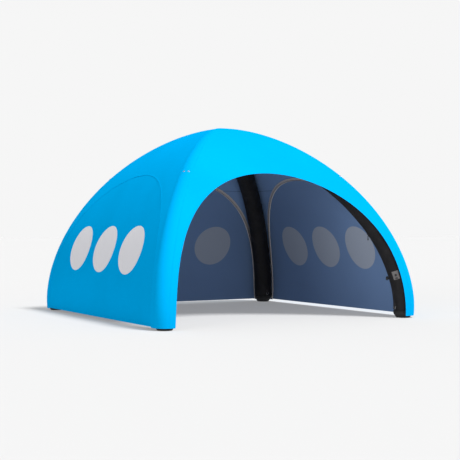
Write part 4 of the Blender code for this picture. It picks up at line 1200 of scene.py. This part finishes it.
def make_valve_and_button():
    """The inflation valve with its grooved cap, the power button, and the roof's relief valve."""
    black = ("plastic_black", "plastic_black")
    valve, panel = hinge_frame("valve_cap_flip"), panel_frame()
    out = outward(valve)
    turned_piece("valve_body_moulded", VALVE_BODY, valve @ Vector((0, -0.0165, -0.028)), out, *black, 72,
                 "valve_body")
    turned_piece("valve_cap_moulded", VALVE_CAP, valve @ Vector((0, 0, -0.028)), out, *black, 144,
                 "valve_cap", body="valve_cap", grips=24)
    turned_piece("button_moulded", BUTTON, panel @ Vector((0, PANEL_FACE, 0)), outward(panel), *black, 64,
                 "power_button", body="power_button")
    top = Vector((0, 0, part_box("relief_valve")[1][2]))
    turned_piece("relief_valve_moulded", RELIEF, top, Vector((0, 0, -1)), *black, 48, "relief_valve")


def assign(node, look):
    """Give a carried-over CAD node its finished material."""
    obj = frame["nodes"][node]
    obj.data.materials.clear()
    obj.data.materials.append(LOOKS[look])


# ---------------------------------------------------------------- the walls' arch ends, worked out and not kept


def declare_sheets():
    """Works out the walls' half width and angle at their bottom and near their top, and keeps nothing."""

    half, ends = arch_edge(np.array([arch_turn(WALL_BOTTOM), NEARLY_TOP]), WALL_TUCK)


# ---------------------------------------------------------------- studio

CAMERA_PLACE = (-7.337, -12.948, 1.211)
CAMERA_TURN = (90.03, 0.0, -29.98)
LENS = 79.54
BACKGROUND = 0.9216
UPPER_SKY = 0.40
SKY_FADE = (0.20, 0.55)
FLOOR_HALF = 150.0
FLOOR_ALBEDO = 0.425
FLOOR_GLOW = 0.24
LAMPS = (("key", (0.33, -0.62, 1.0), 4.2, 15.0), ("fill", (-0.92, -0.40, 0.20), 0.66, 30.0))


def make_camera():
    data = bpy.data.cameras.new("camera")
    data.lens = LENS
    data.clip_end = 500
    camera = linked("camera", data)
    camera.location = CAMERA_PLACE
    camera.rotation_euler = [math.radians(a) for a in CAMERA_TURN]
    bpy.context.scene.camera = camera


def make_studio():
    scene = bpy.context.scene
    scene.view_settings.view_transform = "Standard"
    world = bpy.data.worlds.new("studio")
    world.use_nodes = True
    tree = world.node_tree
    split = tree.nodes.new("ShaderNodeSeparateXYZ")
    tree.links.new(tree.nodes.new("ShaderNodeTexCoord").outputs["Generated"], split.inputs[0])
    level = tree.nodes.new("ShaderNodeMapRange")
    level.interpolation_type = "SMOOTHSTEP"
    tree.links.new(split.outputs["Z"], level.inputs["Value"])
    for key, value in (("From Min", SKY_FADE[0]), ("From Max", SKY_FADE[1]), ("To Min", BACKGROUND),
                       ("To Max", UPPER_SKY)):
        level.inputs[key].default_value = value
    tree.links.new(level.outputs["Result"], tree.nodes["Background"].inputs["Color"])
    scene.world = world

    for name, way, strength, width in LAMPS:
        light = bpy.data.lights.new(name, "SUN")
        light.energy = strength
        light.angle = math.radians(width)
        linked(name, light).rotation_euler = Vector(way).to_track_quat("Z", "Y").to_euler()

    shade = Shade("studio_floor", 1.0, specular=0.0)
    tone = shade.mix(shade.noise(0.2, 1.0), (FLOOR_ALBEDO * 0.999,) * 3, (FLOOR_ALBEDO * 1.001,) * 3)
    shade.shader.inputs["Emission Color"].default_value = (1.0, 1.0, 1.0, 1.0)
    shade.shader.inputs["Emission Strength"].default_value = FLOOR_GLOW
    verts = [(x * FLOOR_HALF, y * FLOOR_HALF, 0) for x, y in ((-1, -1), (1, -1), (1, 1), (-1, 1))]
    floor = mesh_object("studio_floor", verts, [(0, 1, 2, 3)], shade.finish(tone))


# ---------------------------------------------------------------- put together

def main():
    make_camera()
    make_studio()
    make_canopy()
    make_front_binding()
    for side in SIDES:
        make_arch_fold(side)
    for side in WALLS:
        make_wall(side)
        make_wall_hem(side)
        make_zip(side)
    for leg in LEGS:
        make_sleeve(leg)
        make_sleeve_seam(leg)
        make_foot(leg)
        make_leg_seams(leg)
        make_eyelets(leg)
        make_bladder(leg)
        make_anchor_ring(leg)
        make_tab_pad("anchor_pad_" + leg, "anchor_ring_%s_swing" % leg, 0.038, 0.040, 0.030)
        assign("anchor_tab_" + leg, "webbing")
    make_crown_chamber()
    make_pump_and_battery()
    make_panel_trim()
    make_valve_hinge()
    make_valve_and_button()
    make_battery_flap()
    make_accessory_loop()
    make_tab_pad("loop_pad", "accessory_loop_swing", 0.030, 0.036, 0.026)
    for side in WALLS:
        assign("zip_slider_" + side, "plastic_black")
        assign("zip_pull_" + side, "webbing")
    for node, look in (("control_panel", "plastic_grey"), ("port_cover", "plastic_black"),
                       ("loop_tab", "webbing")):
        assign(node, look)
    declare_sheets()


main()
